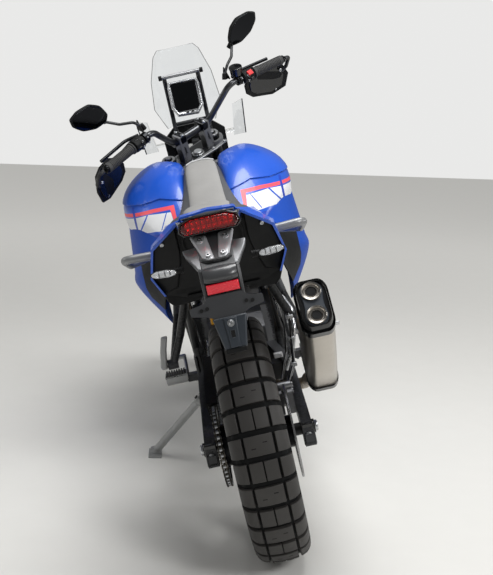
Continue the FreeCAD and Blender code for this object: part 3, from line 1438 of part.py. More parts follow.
def hand_guards():
    """Shells in front of the grips, carried by a bow from the bar's end inwards."""
    rise = float(dims.bar_rise)
    end = along_grip(-16 - GAP)
    bow = tube([along_grip(-25), end + Vector(76, 4, -4), Vector(88, 300, rise - 6),
                Vector(30, 214, rise - 24)], 6, 30)
    shell = loft([[Vector(78, 232, rise - 44), Vector(84, 232, rise - 44), Vector(84, 236, rise + 34),
                   Vector(78, 236, rise + 34)],
                  [Vector(88, 320, rise - 62), Vector(95, 320, rise - 62), Vector(92, 322, rise + 62),
                   Vector(85, 322, rise + 62)],
                  [Vector(52, 424, rise - 50), Vector(58, 428, rise - 50), Vector(56, 430, rise + 42),
                   Vector(50, 426, rise + 42)]])
    cap = rod(end, along_grip(-32), 14)
    solid_part("hand_guards", Part.makeCompound(both_sides(join([bow, shell, cap]))), "steering")


def mirrors():
    """A stalk up and out from each lever clamp, and a shell with its glass."""
    root = along_grip(198) + Vector(0, 0, 21 + GAP)
    knee = Vector(18, 243, float(dims.bar_rise) + 78)
    centre = Vector(62, 352, float(dims.bar_rise) + 132)
    stalk = tube([root, root + Vector(6, 2, 30), knee, centre + Vector(0, -40, -8)], 5, 25)
    outline = [(-72, -6), (-58, -30), (-8, -38), (52, -30), (70, 0), (48, 30), (-20, 38), (-62, 22)]
    shell = loft([[centre + Vector(-9, y, z) for y, z in outline],
                  [centre + Vector(6, y * 0.96, z * 0.92) for y, z in outline],
                  [centre + Vector(24, y * 0.62, z * 0.56) for y, z in outline]])
    solid_part("mirrors", Part.makeCompound(both_sides(join([stalk, shell]))), "steering")


yokes()
fork()
front_callipers()
front_mudguard()
handlebar()
grips()
switchgear()
levers()
hand_guards()
mirrors()


# How the machine stands: leaning on the stand, both tyres and the foot on the ground

def lowest(place, outline):
    """Height of the lowest point of a wheel at a place, its axle along its own y."""
    centre = place.multVec(Vector())
    tilt = place.Rotation.multVec(Y_AXIS).z
    flat = math.sqrt(1 - tilt * tilt)
    return min(centre.z + float(y) * tilt - float(radius) * flat for y, radius in outline)


def standing(height, pitch):
    lean = Rotation(X_AXIS, -float(dims.lean_angle))
    return Placement(Vector(0, 0, height), lean.multiply(Rotation(Y_AXIS, pitch)))


STEERED = FORK_FRAME.multiply(Placement(Vector(), Rotation(Z_AXIS, float(dims.steering_lock))))
FRONT_SPOT = STEERED.multiply(Placement(Vector(AXLE_OFFSET, 0, AXLE_DOWN), Rotation()))
REAR_SPOT = Placement(REAR_CENTRE, Rotation())


def settle():
    """Height and pitch at which both tyres just touch the ground."""
    height, pitch = 0.0, 0.0
    for _ in range(30):
        height -= lowest(standing(height, pitch).multiply(REAR_SPOT), REAR_OUTLINE)
        front = lowest(standing(height, pitch).multiply(FRONT_SPOT), FRONT_OUTLINE)
        pitch += math.degrees(front / float(dims.wheelbase))
    return standing(height, pitch)


STANDING = settle()


# Side stand: its foot is flat on the ground while the machine leans

STAND_PIVOT = Vector(PIVOT.x - 2, 168, PIVOT.z - 112)
GROUND_TO_BIKE = STANDING.inverse()
STAND_FOOT = GROUND_TO_BIKE.multVec(Vector(float(dims.stand_foot_x), float(dims.stand_foot_y), 13))
STAND_FOLDED = Vector(-0.95, 0.22, -0.16)
STAND_AXIS = (STAND_FOOT - STAND_PIVOT).cross(STAND_FOLDED).normalize()


def side_stand():
    line = Vector(STAND_FOOT - STAND_PIVOT).normalize()
    leg = rod(STAND_PIVOT + line * 6, STAND_FOOT, dims.stand_radius)
    eye_half = float(dims.stand_radius)
    eye = rod(STAND_PIVOT - STAND_AXIS * eye_half, STAND_PIVOT + STAND_AXIS * eye_half, 19)
    bore = rod(STAND_PIVOT - STAND_AXIS * 40, STAND_PIVOT + STAND_AXIS * 40, 6 + GAP)
    foot_world = Vector(float(dims.stand_foot_x), float(dims.stand_foot_y), 0)
    sole = Part.makeBox(76, 44, 7, foot_world + Vector(-38, -20, 0))
    collar = Part.makeCylinder(18, 20, foot_world + Vector(0, 0, 4))
    for item in (sole, collar):
        item.Placement = GROUND_TO_BIKE.multiply(item.Placement)
    solid_part("side_stand", join([leg, eye, sole, collar]).cut(bore), "chassis")


def stand_bracket():
    """A plate under the swingarm pivot with the pin that the stand turns on."""
    face = float(dims.stand_radius) + GAP
    pin = rod(STAND_PIVOT - STAND_AXIS * 28, STAND_PIVOT + STAND_AXIS * (face + 5), 6)
    low = rod(STAND_PIVOT - STAND_AXIS * 28, STAND_PIVOT - STAND_AXIS * face, 17)
    tube_y = float(dims.pivot_half_width) + 20
    arm = tube([STAND_PIVOT - STAND_AXIS * 21, Vector(PIVOT.x, tube_y, PIVOT.z - 84)], 10, 20)
    cross = rod((PIVOT.x, -tube_y, PIVOT.z - 84), (PIVOT.x, tube_y, PIVOT.z - 84), 9)
    room = rod(STAND_PIVOT - STAND_AXIS * face, STAND_PIVOT + STAND_AXIS * 60, 25)
    solid_part("stand_bracket", join([join([arm, cross]).cut(room), pin, low]), "chassis")


side_stand()
stand_bracket()


# Every group of pieces in its place, then the origin under the middle of the whole

def beside_axle(distance):
    """A place on the rear axle, to the left of the middle."""
    return REAR_SPOT.multiply(Placement(Vector(0, float(distance), 0), Rotation()))


GROUPS = {
    "chassis": Placement(),
    "steering": STEERED,
    "front_wheel": FRONT_SPOT,
    "rear_wheel": REAR_SPOT,
    "rear_disc_group": beside_axle(-dims.rear_disc_y),
    "sprocket_group": beside_axle(dims.chain_y),
    "plate_bracket_group": PLATE_BRACKET_SPOT,
    "dash_group": DASH_SPOT,
}


def put(shift):
    for item, group, own in parts:
        item.Placement = shift.multiply(STANDING).multiply(GROUPS[group]).multiply(own)
    doc.recompute()


def whole_box():
    box = FreeCAD.BoundBox()
    for item, _, _ in parts:
        box.add(item.Shape.optimalBoundingBox(False, False))
    return box


doc.recompute()
put(Placement())
extent = whole_box()
ORIGIN_SHIFT = Placement(Vector(-extent.Center.x, -extent.Center.y, -extent.ZMin), Rotation())
put(ORIGIN_SHIFT)


# Checks, then one file for each piece

def check_and_write():
    for item in doc.Objects:
        if "Invalid" in item.State or "Error" in item.State:
            raise RuntimeError("%s failed: %s" % (item.Label, item.State))
    os.makedirs("parts", exist_ok=True)
    for item, _, _ in parts:
        shape = item.Shape
        if shape.isNull() or not shape.isValid() or not shape.Solids:
            raise RuntimeError("%s is not a valid solid" % item.Label)
    for item, _, _ in parts:
        item.Shape.exportStep("parts/%s.step" % item.Label)


check_and_write()
print("%d pieces, %.0f x %.0f x %.0f mm" % (len(parts), extent.XLength, extent.YLength, extent.ZLength))
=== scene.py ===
"""Dresses the adventure motorcycle: finishes, tread, seat, panels, lamps and controls round its frame."""
import json
import logging
import math
from dataclasses import dataclass, field
from enum import Enum
from typing import Any, Callable, Iterable, Sequence

import bmesh
import bpy
from mathutils import Matrix, Vector


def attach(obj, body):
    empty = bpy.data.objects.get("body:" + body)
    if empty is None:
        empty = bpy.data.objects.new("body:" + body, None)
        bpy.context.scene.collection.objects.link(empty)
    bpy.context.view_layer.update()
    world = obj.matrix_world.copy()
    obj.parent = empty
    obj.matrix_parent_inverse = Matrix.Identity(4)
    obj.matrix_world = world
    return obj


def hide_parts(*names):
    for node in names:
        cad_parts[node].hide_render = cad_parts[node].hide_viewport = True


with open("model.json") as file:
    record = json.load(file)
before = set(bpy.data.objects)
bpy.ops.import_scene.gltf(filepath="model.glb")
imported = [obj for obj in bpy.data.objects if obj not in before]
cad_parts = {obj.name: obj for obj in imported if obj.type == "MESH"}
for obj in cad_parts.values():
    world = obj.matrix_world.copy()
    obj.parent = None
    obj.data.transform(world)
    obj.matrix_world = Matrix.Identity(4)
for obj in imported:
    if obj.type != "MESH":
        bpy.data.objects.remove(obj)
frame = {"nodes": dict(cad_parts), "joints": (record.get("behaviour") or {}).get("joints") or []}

LOG = logging.getLogger("motorcycle")
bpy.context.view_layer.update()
SIDES = (-1, 1)

Point = Sequence[float]
Outline = Sequence[Sequence[float]]


# Places

@dataclass(frozen=True)
class Axes:
    """A drawing frame on the leaning machine: millimetres in, metres of the row frame out."""

    origin: Vector
    x: Vector
    y: Vector
    z: Vector

    def at(self, x: float, y: float, z: float) -> Vector:
        """Return the row frame's point, in metres, of a place in millimetres."""
        return self.origin + (self.x * x + self.y * y + self.z * z) / 1000

    def moved(self, x: float, y: float, z: float) -> "Axes":
        """Return the same axes with another origin."""
        return Axes(self.at(x, y, z), self.x, self.y, self.z)

    def turned(self, degrees: float, about: str) -> "Axes":
        """Return these axes turned by the right-hand rule about their own x, y or z."""
        turn = Matrix.Rotation(math.radians(degrees), 3, getattr(self, about))
        return Axes(self.origin, turn @ self.x, turn @ self.y, turn @ self.z)


@dataclass(frozen=True)
class Geometry:
    """The driving dimensions that the panels and controls share, in millimetres and degrees."""

    rake: float = 27.0
    steering_lock: float = 35.0
    front_radius: float = 348.0
    rear_radius: float = 333.0
    head_x: float = 1189.77
    steering_point: float = 1000.0
    steering_foot: float = 1671.0
    fork_spacing: float = 105.0
    fork_offset: float = 40.0


GEOMETRY = Geometry()


class Machine:
    """Reads the joints of the frame and gives the drawing frames of the upright machine."""

    def __init__(self, joints: list[dict[str, Any]]) -> None:
        """Work out the axes from the rear axle and the steering axis.

        Args:
            joints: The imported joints, each with its name, place and axis.
        """
        found = {joint["name"]: joint for joint in joints}
        rear, steering = found["rear_wheel_spin"], found["steering"]
        rake = math.radians(GEOMETRY.rake)
        across = Vector(rear["axis"]).normalized()
        along = Vector(steering["axis"]).normalized()
        ahead = across.cross(along).normalized()
        x = ahead * math.cos(rake) - along * math.sin(rake)
        z = ahead * math.sin(rake) + along * math.cos(rake)
        centre = Vector(rear["pos_m"])
        self.body = Axes(centre - z * GEOMETRY.rear_radius / 1000, x, across, z)
        self.rear_wheel = Axes(centre, x, across, z)
        foot = Vector(steering["pos_m"]) - along * GEOMETRY.steering_point / 1000
        self.steering = Axes(foot, ahead, across, along).turned(GEOMETRY.steering_lock, "z")
        hub = Vector(found["front_wheel_spin"]["pos_m"])
        self.front_wheel = Axes(hub, self.steering.x, self.steering.y, self.steering.z)


MACHINE = Machine(frame["joints"])


# Finishes

def linear(hexcode: str) -> tuple[float, float, float, float]:
    """Turn an sRGB hex value such as 1f4fb4 to a linear colour with full alpha."""
    channels = [int(hexcode[index:index + 2], 16) / 255 for index in (0, 2, 4)]
    straight = [c / 12.92 if c <= 0.04045 else ((c + 0.055) / 1.055) ** 2.4 for c in channels]
    return (straight[0], straight[1], straight[2], 1.0)


def add_node(tree: bpy.types.NodeTree, kind: str, settings: dict[str, Any] | None = None,
             inputs: dict[Any, Any] | None = None) -> bpy.types.Node:
    """Add a shader node.

    Args:
        tree: The node tree of a material or the world.
        kind: The node's type, such as ShaderNodeTexNoise.
        settings: Attributes of the node.
        inputs: Socket name or number to a value, or to the socket that feeds it.

    Returns:
        The new node.
    """
    node = tree.nodes.new(kind)
    for key, value in (settings or {}).items():
        setattr(node, key, value)
    for key, value in (inputs or {}).items():
        if isinstance(value, bpy.types.NodeSocket):
            tree.links.new(value, node.inputs[key])
        else:
            node.inputs[key].default_value = value
    return node


class Texture(Enum):
    """How the surface was made, and so which pattern its bump follows."""

    MOULDED = "moulded grain"
    PAINTED = "sprayed and baked"
    BRUSHED = "brushed along one way"
    CAST = "sand cast"
    LEATHER = "embossed vinyl"
    RIBBED = "moulded ribs"


@dataclass(frozen=True)
class Finish:
    """A finish with one ground colour: what it is made of and how it was made.

    Grain, depth of the relief and the widths below are in millimetres. Grain is the real grain,
    or as coarse as it has to be to show. Shade is how far the ground colour varies.
    """

    name: str
    hexcode: str
    texture: Texture
    roughness: float
    metallic: float = 0.0
    coat: float = 0.0
    ior: float = 1.5
    transmission: float = 0.0
    grain: float = 2.0
    depth: float = 0.05
    shade: float = 0.15
    wear: str = ""
    glow: float = 0.0
    cloud_width: float = 90.0
    scratch_width: float = 6.0
    mark_width: float = 14.0

    def material(self) -> bpy.types.Material:
        """Return the finish's material, made at its first use."""
        return bpy.data.materials.get(self.name) or self.make()

    def make(self) -> bpy.types.Material:
        """Build the node tree.

        Returns:
            The new material.
        """
        material = bpy.data.materials.new(self.name)
        material.use_nodes = True
        tree = material.node_tree
        tree.nodes.clear()
        place = add_node(tree, "ShaderNodeTexCoord").outputs["Object"]
        bump = add_node(tree, "ShaderNodeBump", inputs={
            "Height": self.relief(tree, place), "Distance": self.depth / 1000, "Strength": 1.0})
        shader = add_node(tree, "ShaderNodeBsdfPrincipled", inputs={
            "Metallic": self.metallic, "Coat Weight": self.coat, "Coat Roughness": 0.04,
            "Transmission Weight": self.transmission, "Base Color": self.colour(tree, place),
            "Normal": bump.outputs[0], "Roughness": self.gloss(tree, place)})
        if self.metallic < 0.5:
            shader.inputs["IOR"].default_value = self.ior
        if self.glow:
            shader.inputs["Emission Color"].default_value = linear(self.hexcode)
            shader.inputs["Emission Strength"].default_value = self.glow
        add_node(tree, "ShaderNodeOutputMaterial", inputs={"Surface": shader.outputs[0]})
        return material

    def noise(self, tree: bpy.types.NodeTree, place: bpy.types.NodeSocket, width: float,
              detail: float) -> bpy.types.NodeSocket:
        """Return a noise of a width in millimetres, from 0 to 1."""
        return add_node(tree, "ShaderNodeTexNoise", inputs={
            "Vector": place, "Scale": 1000 / width, "Detail": detail}).outputs["Fac"]

    def colour(self, tree: bpy.types.NodeTree, place: bpy.types.NodeSocket) -> bpy.types.NodeSocket:
        """Ground colour with soft clouds a hand wide, and bare edges where it wears.

        Args:
            tree: The material's tree.
            place: Object coordinates in metres.

        Returns:
            The colour socket.
        """
        ground = linear(self.hexcode)
        dark = tuple(c * (1 - self.shade) for c in ground[:3]) + (1.0,)
        pale = tuple(min(1.0, c * (1 + self.shade)) for c in ground[:3]) + (1.0,)
        mixed = add_node(tree, "ShaderNodeMix", {"data_type": "RGBA"}, {
            "Factor": self.noise(tree, place, self.cloud_width, 3.0), 6: dark, 7: pale})
        if not self.wear:
            return mixed.outputs[2]
        edge = add_node(tree, "ShaderNodeNewGeometry").outputs["Pointiness"]
        summed = add_node(tree, "ShaderNodeMath", {"operation": "MULTIPLY_ADD"}, {
            0: self.noise(tree, place, self.scratch_width, 4.0), 1: 0.08, 2: edge})
        bare = add_node(tree, "ShaderNodeMapRange", inputs={
            "Value": summed.outputs[0], "From Min": 0.565, "From Max": 0.60})
        worn = add_node(tree, "ShaderNodeMix", {"data_type": "RGBA"}, {
            "Factor": bare.outputs[0], 6: mixed.outputs[2], 7: linear(self.wear)})
        return worn.outputs[2]

    def gloss(self, tree: bpy.types.NodeTree, place: bpy.types.NodeSocket) -> bpy.types.NodeSocket:
        """Return a roughness that varies a little with handling marks."""
        return add_node(tree, "ShaderNodeMapRange", inputs={
            "Value": self.noise(tree, place, self.mark_width, 5.0), "To Min": self.roughness * 0.85,
            "To Max": min(1.0, self.roughness * 1.15)}).outputs[0]

    def relief(self, tree: bpy.types.NodeTree, place: bpy.types.NodeSocket) -> bpy.types.NodeSocket:
        """Height of the pattern that the making left on the surface.

        Args:
            tree: The material's tree.
            place: Object coordinates in metres.

        Returns:
            A socket from 0 to 1.
        """
        scale = 1000 / self.grain
        if self.texture is Texture.BRUSHED:
            squeezed = add_node(tree, "ShaderNodeMapping", inputs={
                "Vector": place, "Scale": (scale * 0.04, scale, scale)})
            return self.noise(tree, squeezed.outputs[0], 1000.0, 4.0)
        if self.texture in (Texture.LEATHER, Texture.RIBBED):
            feature = "DISTANCE_TO_EDGE" if self.texture is Texture.LEATHER else "F1"
            return add_node(tree, "ShaderNodeTexVoronoi", {"feature": feature}, {
                "Vector": place, "Scale": scale}).outputs["Distance"]
        return self.noise(tree, place, self.grain, 8.0 if self.texture is Texture.CAST else 2.0)


# Powder coat: baked on steel, so thick that it rounds edges; they rub bare and grey.
FRAME_COAT = Finish("powder_coat_black", "090a0b", Texture.PAINTED, 0.42, ior=1.32, coat=0.15, grain=3.0,
                    depth=0.04, wear="3a3b3d")
# The same coat in grey on the carrier, a shade lighter and satin.
BRACKET_COAT = Finish("powder_coat_grey", "3c3d3f", Texture.PAINTED, 0.45, grain=2.5, depth=0.04)
# Polypropylene moulded in a sparked tool: a dull even grain that scatters the light.
BLACK_PP = Finish("polypropylene_black", "090a0b", Texture.MOULDED, 0.55, ior=1.32, grain=1.6, depth=0.10)
# ABS from a polished tool, with lacquer: deep gloss with sharp lights.
BLACK_ABS = Finish("abs_black_gloss", "0c0d0e", Texture.PAINTED, 0.18, coat=0.3, grain=6.0, depth=0.01)
# Nylon, moulded: blue-black and satin on the tongue and the silencer's end plate.
NYLON_SLATE = Finish("nylon_slate", "2b3138", Texture.MOULDED, 0.38, grain=1.6, depth=0.06)
# Nylon of the hood: grey and smoother, so that it catches one long soft light.
HOOD_SATIN = Finish("nylon_satin_grey", "3a3b3d", Texture.MOULDED, 0.3, coat=0.2, grain=1.6, depth=0.03)
# ABS sprayed blue under clear lacquer: a strong plain colour with soft wide lights.
PLAIN_BLUE = Finish("abs_blue_lacquer", "1650bc", Texture.PAINTED, 0.36, coat=0.35, grain=8.0,
                    depth=0.01, shade=0.05)
# The same lacquer in a deeper blue, below the stripes.
DEEP_BLUE = Finish("abs_deep_blue_lacquer", "0e3aa8", Texture.PAINTED, 0.4, coat=0.2, grain=8.0,
                   depth=0.01, shade=0.05)
# Blue ABS as moulded, with no lacquer: satin, so it shows no sharp lights.
BLADE_BLUE = Finish("abs_blue_satin", "1445a4", Texture.PAINTED, 0.5, ior=1.28, grain=8.0, depth=0.01,
                    shade=0.05)
# Cast vinyl film of the stripes, smooth and half matt.
CORAL = Finish("vinyl_stripe_coral", "e8505c", Texture.PAINTED, 0.45, coat=0.1, grain=8.0,
               depth=0.01, shade=0.03)
PANEL_WHITE = Finish("vinyl_stripe_white", "dcdddf", Texture.PAINTED, 0.45, coat=0.1, grain=8.0,
                     depth=0.01, shade=0.03)
# Vulcanised tyre compound, dull black: the blocks are a lighter brown-grey as a painted sheen, and the
# carcass with its groove floors is darker as painted shade.
TREAD_RUBBER_PAINTED_SHEEN = Finish("tyre_compound", "2e2c2a", Texture.MOULDED, 0.58, grain=2.2, depth=0.12,
                      shade=0.25)
GROOVE_RUBBER_PAINTED_SHADE = Finish("tyre_groove", "090a0b", Texture.MOULDED, 0.75, ior=1.32, grain=2.2, depth=0.1)
# Soft moulded rubber of grips and peg pads, with a pebbled skin.
GRIP_RUBBER = Finish("grip_rubber", "151617", Texture.RIBBED, 0.6, grain=4.0, depth=0.2)
# The floor of slots and holes, too deep for light to reach.
SLOT_DARK = Finish("slot_shadow", "060606", Texture.MOULDED, 0.9, grain=3.0, depth=0.02)
# Aluminium cast in sand: a rough skin, painted dark on the engine, bare or grey on small parts.
CAST_DARK = Finish("cast_aluminium_dark", "2b2c2e", Texture.CAST, 0.5, metallic=0.7, grain=3.0,
                   depth=0.15, wear="77787a")
CAST_SILVER = Finish("cast_aluminium_bare", "9a9b9d", Texture.CAST, 0.38, metallic=1.0, grain=3.0,
                     depth=0.10)
EAR_GREY = Finish("cast_ear_grey", "77787a", Texture.CAST, 0.36, metallic=0.7, grain=2.5, depth=0.06)
# The same casting in a pale grey with little shine; the pale tone is a painted highlight for the light that
# the arms catch.
BRACKET_PAINTED_HIGHLIGHT = Finish("cast_bracket_pale", "b4b5b8", Texture.CAST, 0.42, metallic=0.35, grain=2.5,
                      depth=0.06)
RAIL_SILVER = Finish("grab_rail_silver", "8b8c8d", Texture.CAST, 0.4, metallic=0.5, grain=2.5, depth=0.04)
STAND_GREY = Finish("stand_grey", "9a9b9b", Texture.CAST, 0.45, metallic=0.5, grain=2.5, depth=0.05)
# Forged and tumbled aluminium of the foot levers: smooth with small dents.
FORGED = Finish("forged_aluminium", "b4b5b7", Texture.CAST, 0.3, metallic=1.0, grain=2.0, depth=0.06)
# Anodised aluminium, brushed before its bath: dark or gold with a silky streak.
ANODISED_BLACK = Finish("anodised_aluminium_black", "1b1c1e", Texture.BRUSHED, 0.28, metallic=0.85,
                        grain=1.2, depth=0.02)
HANDLEBAR_SATIN = Finish("handlebar_satin", "505153", Texture.BRUSHED, 0.3, metallic=1.0, grain=1.6,
                         depth=0.03)
GOLD_ANODISED = Finish("anodised_gold", "b8862d", Texture.BRUSHED, 0.3, metallic=1.0, grain=1.5,
                       depth=0.03)
# Rolled aluminium sheet of the tray, brushed: pale with long scratches.
BRUSHED_PLATE = Finish("brushed_aluminium_plate", "a8aaac", Texture.BRUSHED, 0.32, metallic=1.0,
                       grain=1.5, depth=0.05)
# Stainless steel, brushed: the can is warm and pale, pipes and outlets are browned by heat.
STAINLESS = Finish("stainless_brushed", "b3ada4", Texture.BRUSHED, 0.3, metallic=1.0, grain=1.2,
                   depth=0.05)
HEADER_STEEL = Finish("stainless_header", "8d7f6e", Texture.BRUSHED, 0.35, metallic=1.0, grain=1.6,
                      depth=0.04, shade=0.3)
OUTLET_STEEL = Finish("outlet_steel", "98948e", Texture.BRUSHED, 0.28, metallic=1.0, grain=1.2, depth=0.05)
# Steel ground flat by its pads: fine round scratches.
DISC_STEEL = Finish("ground_disc_steel", "a5a5a6", Texture.BRUSHED, 0.26, metallic=1.0, grain=0.9,
                    depth=0.03)
# Stamped steel under chain grease: brown and blotchy.
CHAIN_STEEL = Finish("oiled_chain_steel", "5a564f", Texture.CAST, 0.4, metallic=1.0, grain=4.0,
                     depth=0.05, shade=0.35)
# Hard chrome, and zinc plate that is a little duller.
CHROME = Finish("hard_chrome", "c9cacc", Texture.BRUSHED, 0.12, metallic=1.0, grain=2.0, depth=0.01)
ZINC_BOLT = Finish("zinc_plated_steel", "b9bbbd", Texture.CAST, 0.28, metallic=1.0, grain=2.0,
                   depth=0.04)
# Silver paint on plastic, of the instrument's rim.
BEZEL_SILVER = Finish("bezel_silver", "c2c4c6", Texture.PAINTED, 0.25, metallic=0.8, grain=3.0,
                      depth=0.02)
# Glass: in the mirrors a dark metal that gives back little light, a painted dark reflection in place of
# bright silvering; and over a dark display.
MIRROR_PAINTED_DARK = Finish("mirror_silvering", "2b2c2f", Texture.PAINTED, 0.04, metallic=1.0, grain=40.0,
                      depth=0.002, shade=0.02)
DISPLAY_GLASS = Finish("display_glass", "050607", Texture.PAINTED, 0.06, ior=1.3, grain=20.0, depth=0.005)
# Acetal of the cut-off key, moulded red through.
RED_BUTTON = Finish("red_button_plastic", "c41a1f", Texture.MOULDED, 0.4, grain=1.5, depth=0.03)
# Acrylic lens, tinted through, over metallised red cells that catch what passes it.
RED_LENS = Finish("acrylic_red", "e2252e", Texture.PAINTED, 0.03, coat=0.3, ior=1.49,
                  transmission=1.0, grain=5.0, depth=0.01, shade=0.02)
LAMP_RED = Finish("lamp_red_reflector", "d83630", Texture.PAINTED, 0.16, metallic=0.9, grain=4.0,
                  depth=0.05)
# Acrylic prisms of the reflector, drawn coarser than the real 1 mm; the glow is painted light for the light
# that the prisms send back, though the reflector is no lamp.
REFLECTOR_RED_PAINTED_GLOW = Finish("prismatic_red", "d3142a", Texture.RIBBED, 0.25, coat=1.0, grain=3.5,
                       depth=1.2, shade=0.35, glow=0.15)
# Polycarbonate: clear with a faint veil in the lamps, thin and almost unseen in the screen.
CLEAR_LENS = Finish("polycarbonate_clear", "f2f4f6", Texture.PAINTED, 0.05, ior=1.58,
                    transmission=0.9, grain=5.0, depth=0.02, shade=0.0)
SCREEN_CLEAR = Finish("polycarbonate_screen", "f4f6f7", Texture.PAINTED, 0.03, ior=1.2,
                      transmission=1.0, grain=30.0, depth=0.01, shade=0.0)
# Embossed vinyl over foam: a leather grain, pale on the top and dark on the sides and piping.
SEAT_TOP = Finish("seat_vinyl_grey", "8a8987", Texture.LEATHER, 0.62, grain=2.6, depth=0.25)
SEAT_SIDE = Finish("seat_vinyl_dark", "4a4b4c", Texture.LEATHER, 0.6, grain=2.6, depth=0.25)
# The piping across the seat's nose is drawn pale: real piping with a painted highlight along it.
NOSE_PIPING_HIGHLIGHT = Finish("seat_piping", "c9cacb", Texture.LEATHER, 0.5, grain=1.5, depth=0.05)


# Forms: points in millimetres and faces by index

@dataclass
class Form:
    """A mesh before it is placed; slots holds one finish number for each face."""

    points: list[tuple[float, float, float]] = field(default_factory=list)
    faces: list[tuple[int, ...]] = field(default_factory=list)
    slots: list[int] = field(default_factory=list)

    def add(self, other: "Form") -> "Form":
        """Take in another form.

        Args:
            other: The form to add.

        Returns:
            This form.
        """
        start = len(self.points)
        self.points += other.points
        self.faces += [tuple(index + start for index in face) for face in other.faces]
        self.slots += other.slots
        return self

    def mapped(self, change: Callable[[Vector], Point]) -> "Form":
        """Return a copy with every point changed."""
        moved = [tuple(change(Vector(point))) for point in self.points]
        return Form(moved, list(self.faces), list(self.slots))

    def moved(self, x: float, y: float, z: float) -> "Form":
        """Return a copy that is shifted."""
        return self.mapped(lambda point: point + Vector((x, y, z)))

    def turned(self, degrees: float, about: str) -> "Form":
        """Return a copy turned about the x, y or z axis."""
        turn = Matrix.Rotation(math.radians(degrees), 3, about.upper())
        return self.mapped(lambda point: turn @ point)

    def paired(self) -> "Form":
        """Return this form with its mirror image across the middle plane."""
        flipped = [(x, -y, z) for x, y, z in self.points]
        return joined([self, Form(flipped, [face[::-1] for face in self.faces], list(self.slots))])

    def middle(self, face: tuple[int, ...]) -> Vector:
        """Return the middle of a face."""
        return sum((Vector(self.points[index]) for index in face), Vector()) / len(face)


def joined(forms: Iterable[Form]) -> Form:
    """Return several forms as one."""
    whole = Form()
    for form in forms:
        whole.add(form)
    return whole


def loft(rings: Sequence[Sequence[Point]], closed: bool = True) -> Form:
    """Join rings of as many points each.

    Args:
        rings: The rings in order.
        closed: Whether the last point of a ring joins its first, with the two ends filled.

    Returns:
        The lofted form.
    """
    count = len(rings[0])
    points = [tuple(point) for ring in rings for point in ring]
    faces: list[tuple[int, ...]] = []
    for row in range(len(rings) - 1):
        for column in range(count if closed else count - 1):
            after = (column + 1) % count
            faces.append((row * count + column, row * count + after,
                          (row + 1) * count + after, (row + 1) * count + column))
    if closed:
        faces.append(tuple(range(count))[::-1])
        faces.append(tuple(range((len(rings) - 1) * count, len(rings) * count)))
    return Form(points, faces, [0] * len(faces))


def box(low: Point, high: Point) -> Form:
    """Return a box between two corners."""
    (x0, y0, z0), (x1, y1, z1) = low, high
    return loft([[(x0, y0, z), (x1, y0, z), (x1, y1, z), (x0, y1, z)] for z in (z0, z1)])


def prism(outline: Outline, low: float, high: float, axis: str = "y") -> Form:
    """Extrude an outline along an axis.

    Args:
        outline: Points (x, z) for axis y, (y, z) for axis x, or (x, y) for axis z.
        low: Where the extrusion starts.
        high: Where it ends.
        axis: One of x, y and z.

    Returns:
        The prism.
    """
    order = {"x": (2, 0, 1), "y": (0, 2, 1), "z": (0, 1, 2)}[axis]
    return loft([[tuple((a, b, level)[index] for index in order) for a, b in outline]
                 for level in (low, high)])


def circle(radius: float, count: int) -> list[tuple[float, float]]:
    """Return the corners of a regular outline."""
    return [(radius * math.cos(2 * math.pi * step / count),
             radius * math.sin(2 * math.pi * step / count)) for step in range(count)]


def lathe(profile: Outline, count: int = 48, closed: bool = True) -> Form:
    """Turn a profile of (along, radius) about the y axis.

    Args:
        profile: The profile's points.
        count: How many steps make the full turn.
        closed: Whether the profile is a closed outline; an open one is filled at both ends.

    Returns:
        The turned form.
    """
    width = len(profile)
    points = [(radius * x, along, radius * z) for x, z in circle(1.0, count)
              for along, radius in profile]
    faces = []
    for row in range(count):
        for column in range(width if closed else width - 1):
            after, below = (column + 1) % width, (row + 1) % count
            faces.append((row * width + column, below * width + column,
                          below * width + after, row * width + after))
    if not closed:
        faces.append(tuple(row * width for row in range(count))[::-1])
        faces.append(tuple(row * width + width - 1 for row in range(count)))
    return Form(points, faces, [0] * len(faces))


def rounded(points: Sequence[Point], bend: float, steps: int = 6) -> list[Vector]:
    """Return a path whose corners are arcs of about one radius.

    Args:
        points: The path's corners.
        bend: The radius wanted, cut down where the runs are short.
        steps: How many points make an arc.

    Returns:
        The rounded path.
    """
    corners = [Vector(point) for point in points]
    path = [corners[0]]
    for before, corner, after in zip(corners, corners[1:], corners[2:]):
        back, ahead = before - corner, after - corner
        cut = min(bend / math.tan(back.angle(ahead) / 2), 0.45 * back.length, 0.45 * ahead.length)
        first = corner + back.normalized() * cut
        last = corner + ahead.normalized() * cut
        for share in (step / steps for step in range(steps + 1)):
            path.append(first * (1 - share) ** 2 + corner * 2 * share * (1 - share)
                        + last * share ** 2)
    return path + [corners[-1]]


def smooth_run(points: Sequence[Point], steps: int) -> list[Vector]:
    """Return a soft curve through all the points.

    Args:
        points: The places it passes.
        steps: How many steps lie between two of them.

    Returns:
        The curve's points, ends included.
    """
    spots = [Vector(point) for point in points]
    spots = [spots[0] * 2 - spots[1]] + spots + [spots[-1] * 2 - spots[-2]]
    run = []
    for a, b, c, d in zip(spots, spots[1:], spots[2:], spots[3:]):
        for t in (step / steps for step in range(steps)):
            run.append(((b * 2) + (c - a) * t + (a * 2 - b * 5 + c * 4 - d) * t * t
                        + (b * 3 - a - c * 3 + d) * t * t * t) * 0.5)
    return run + [spots[-2]]


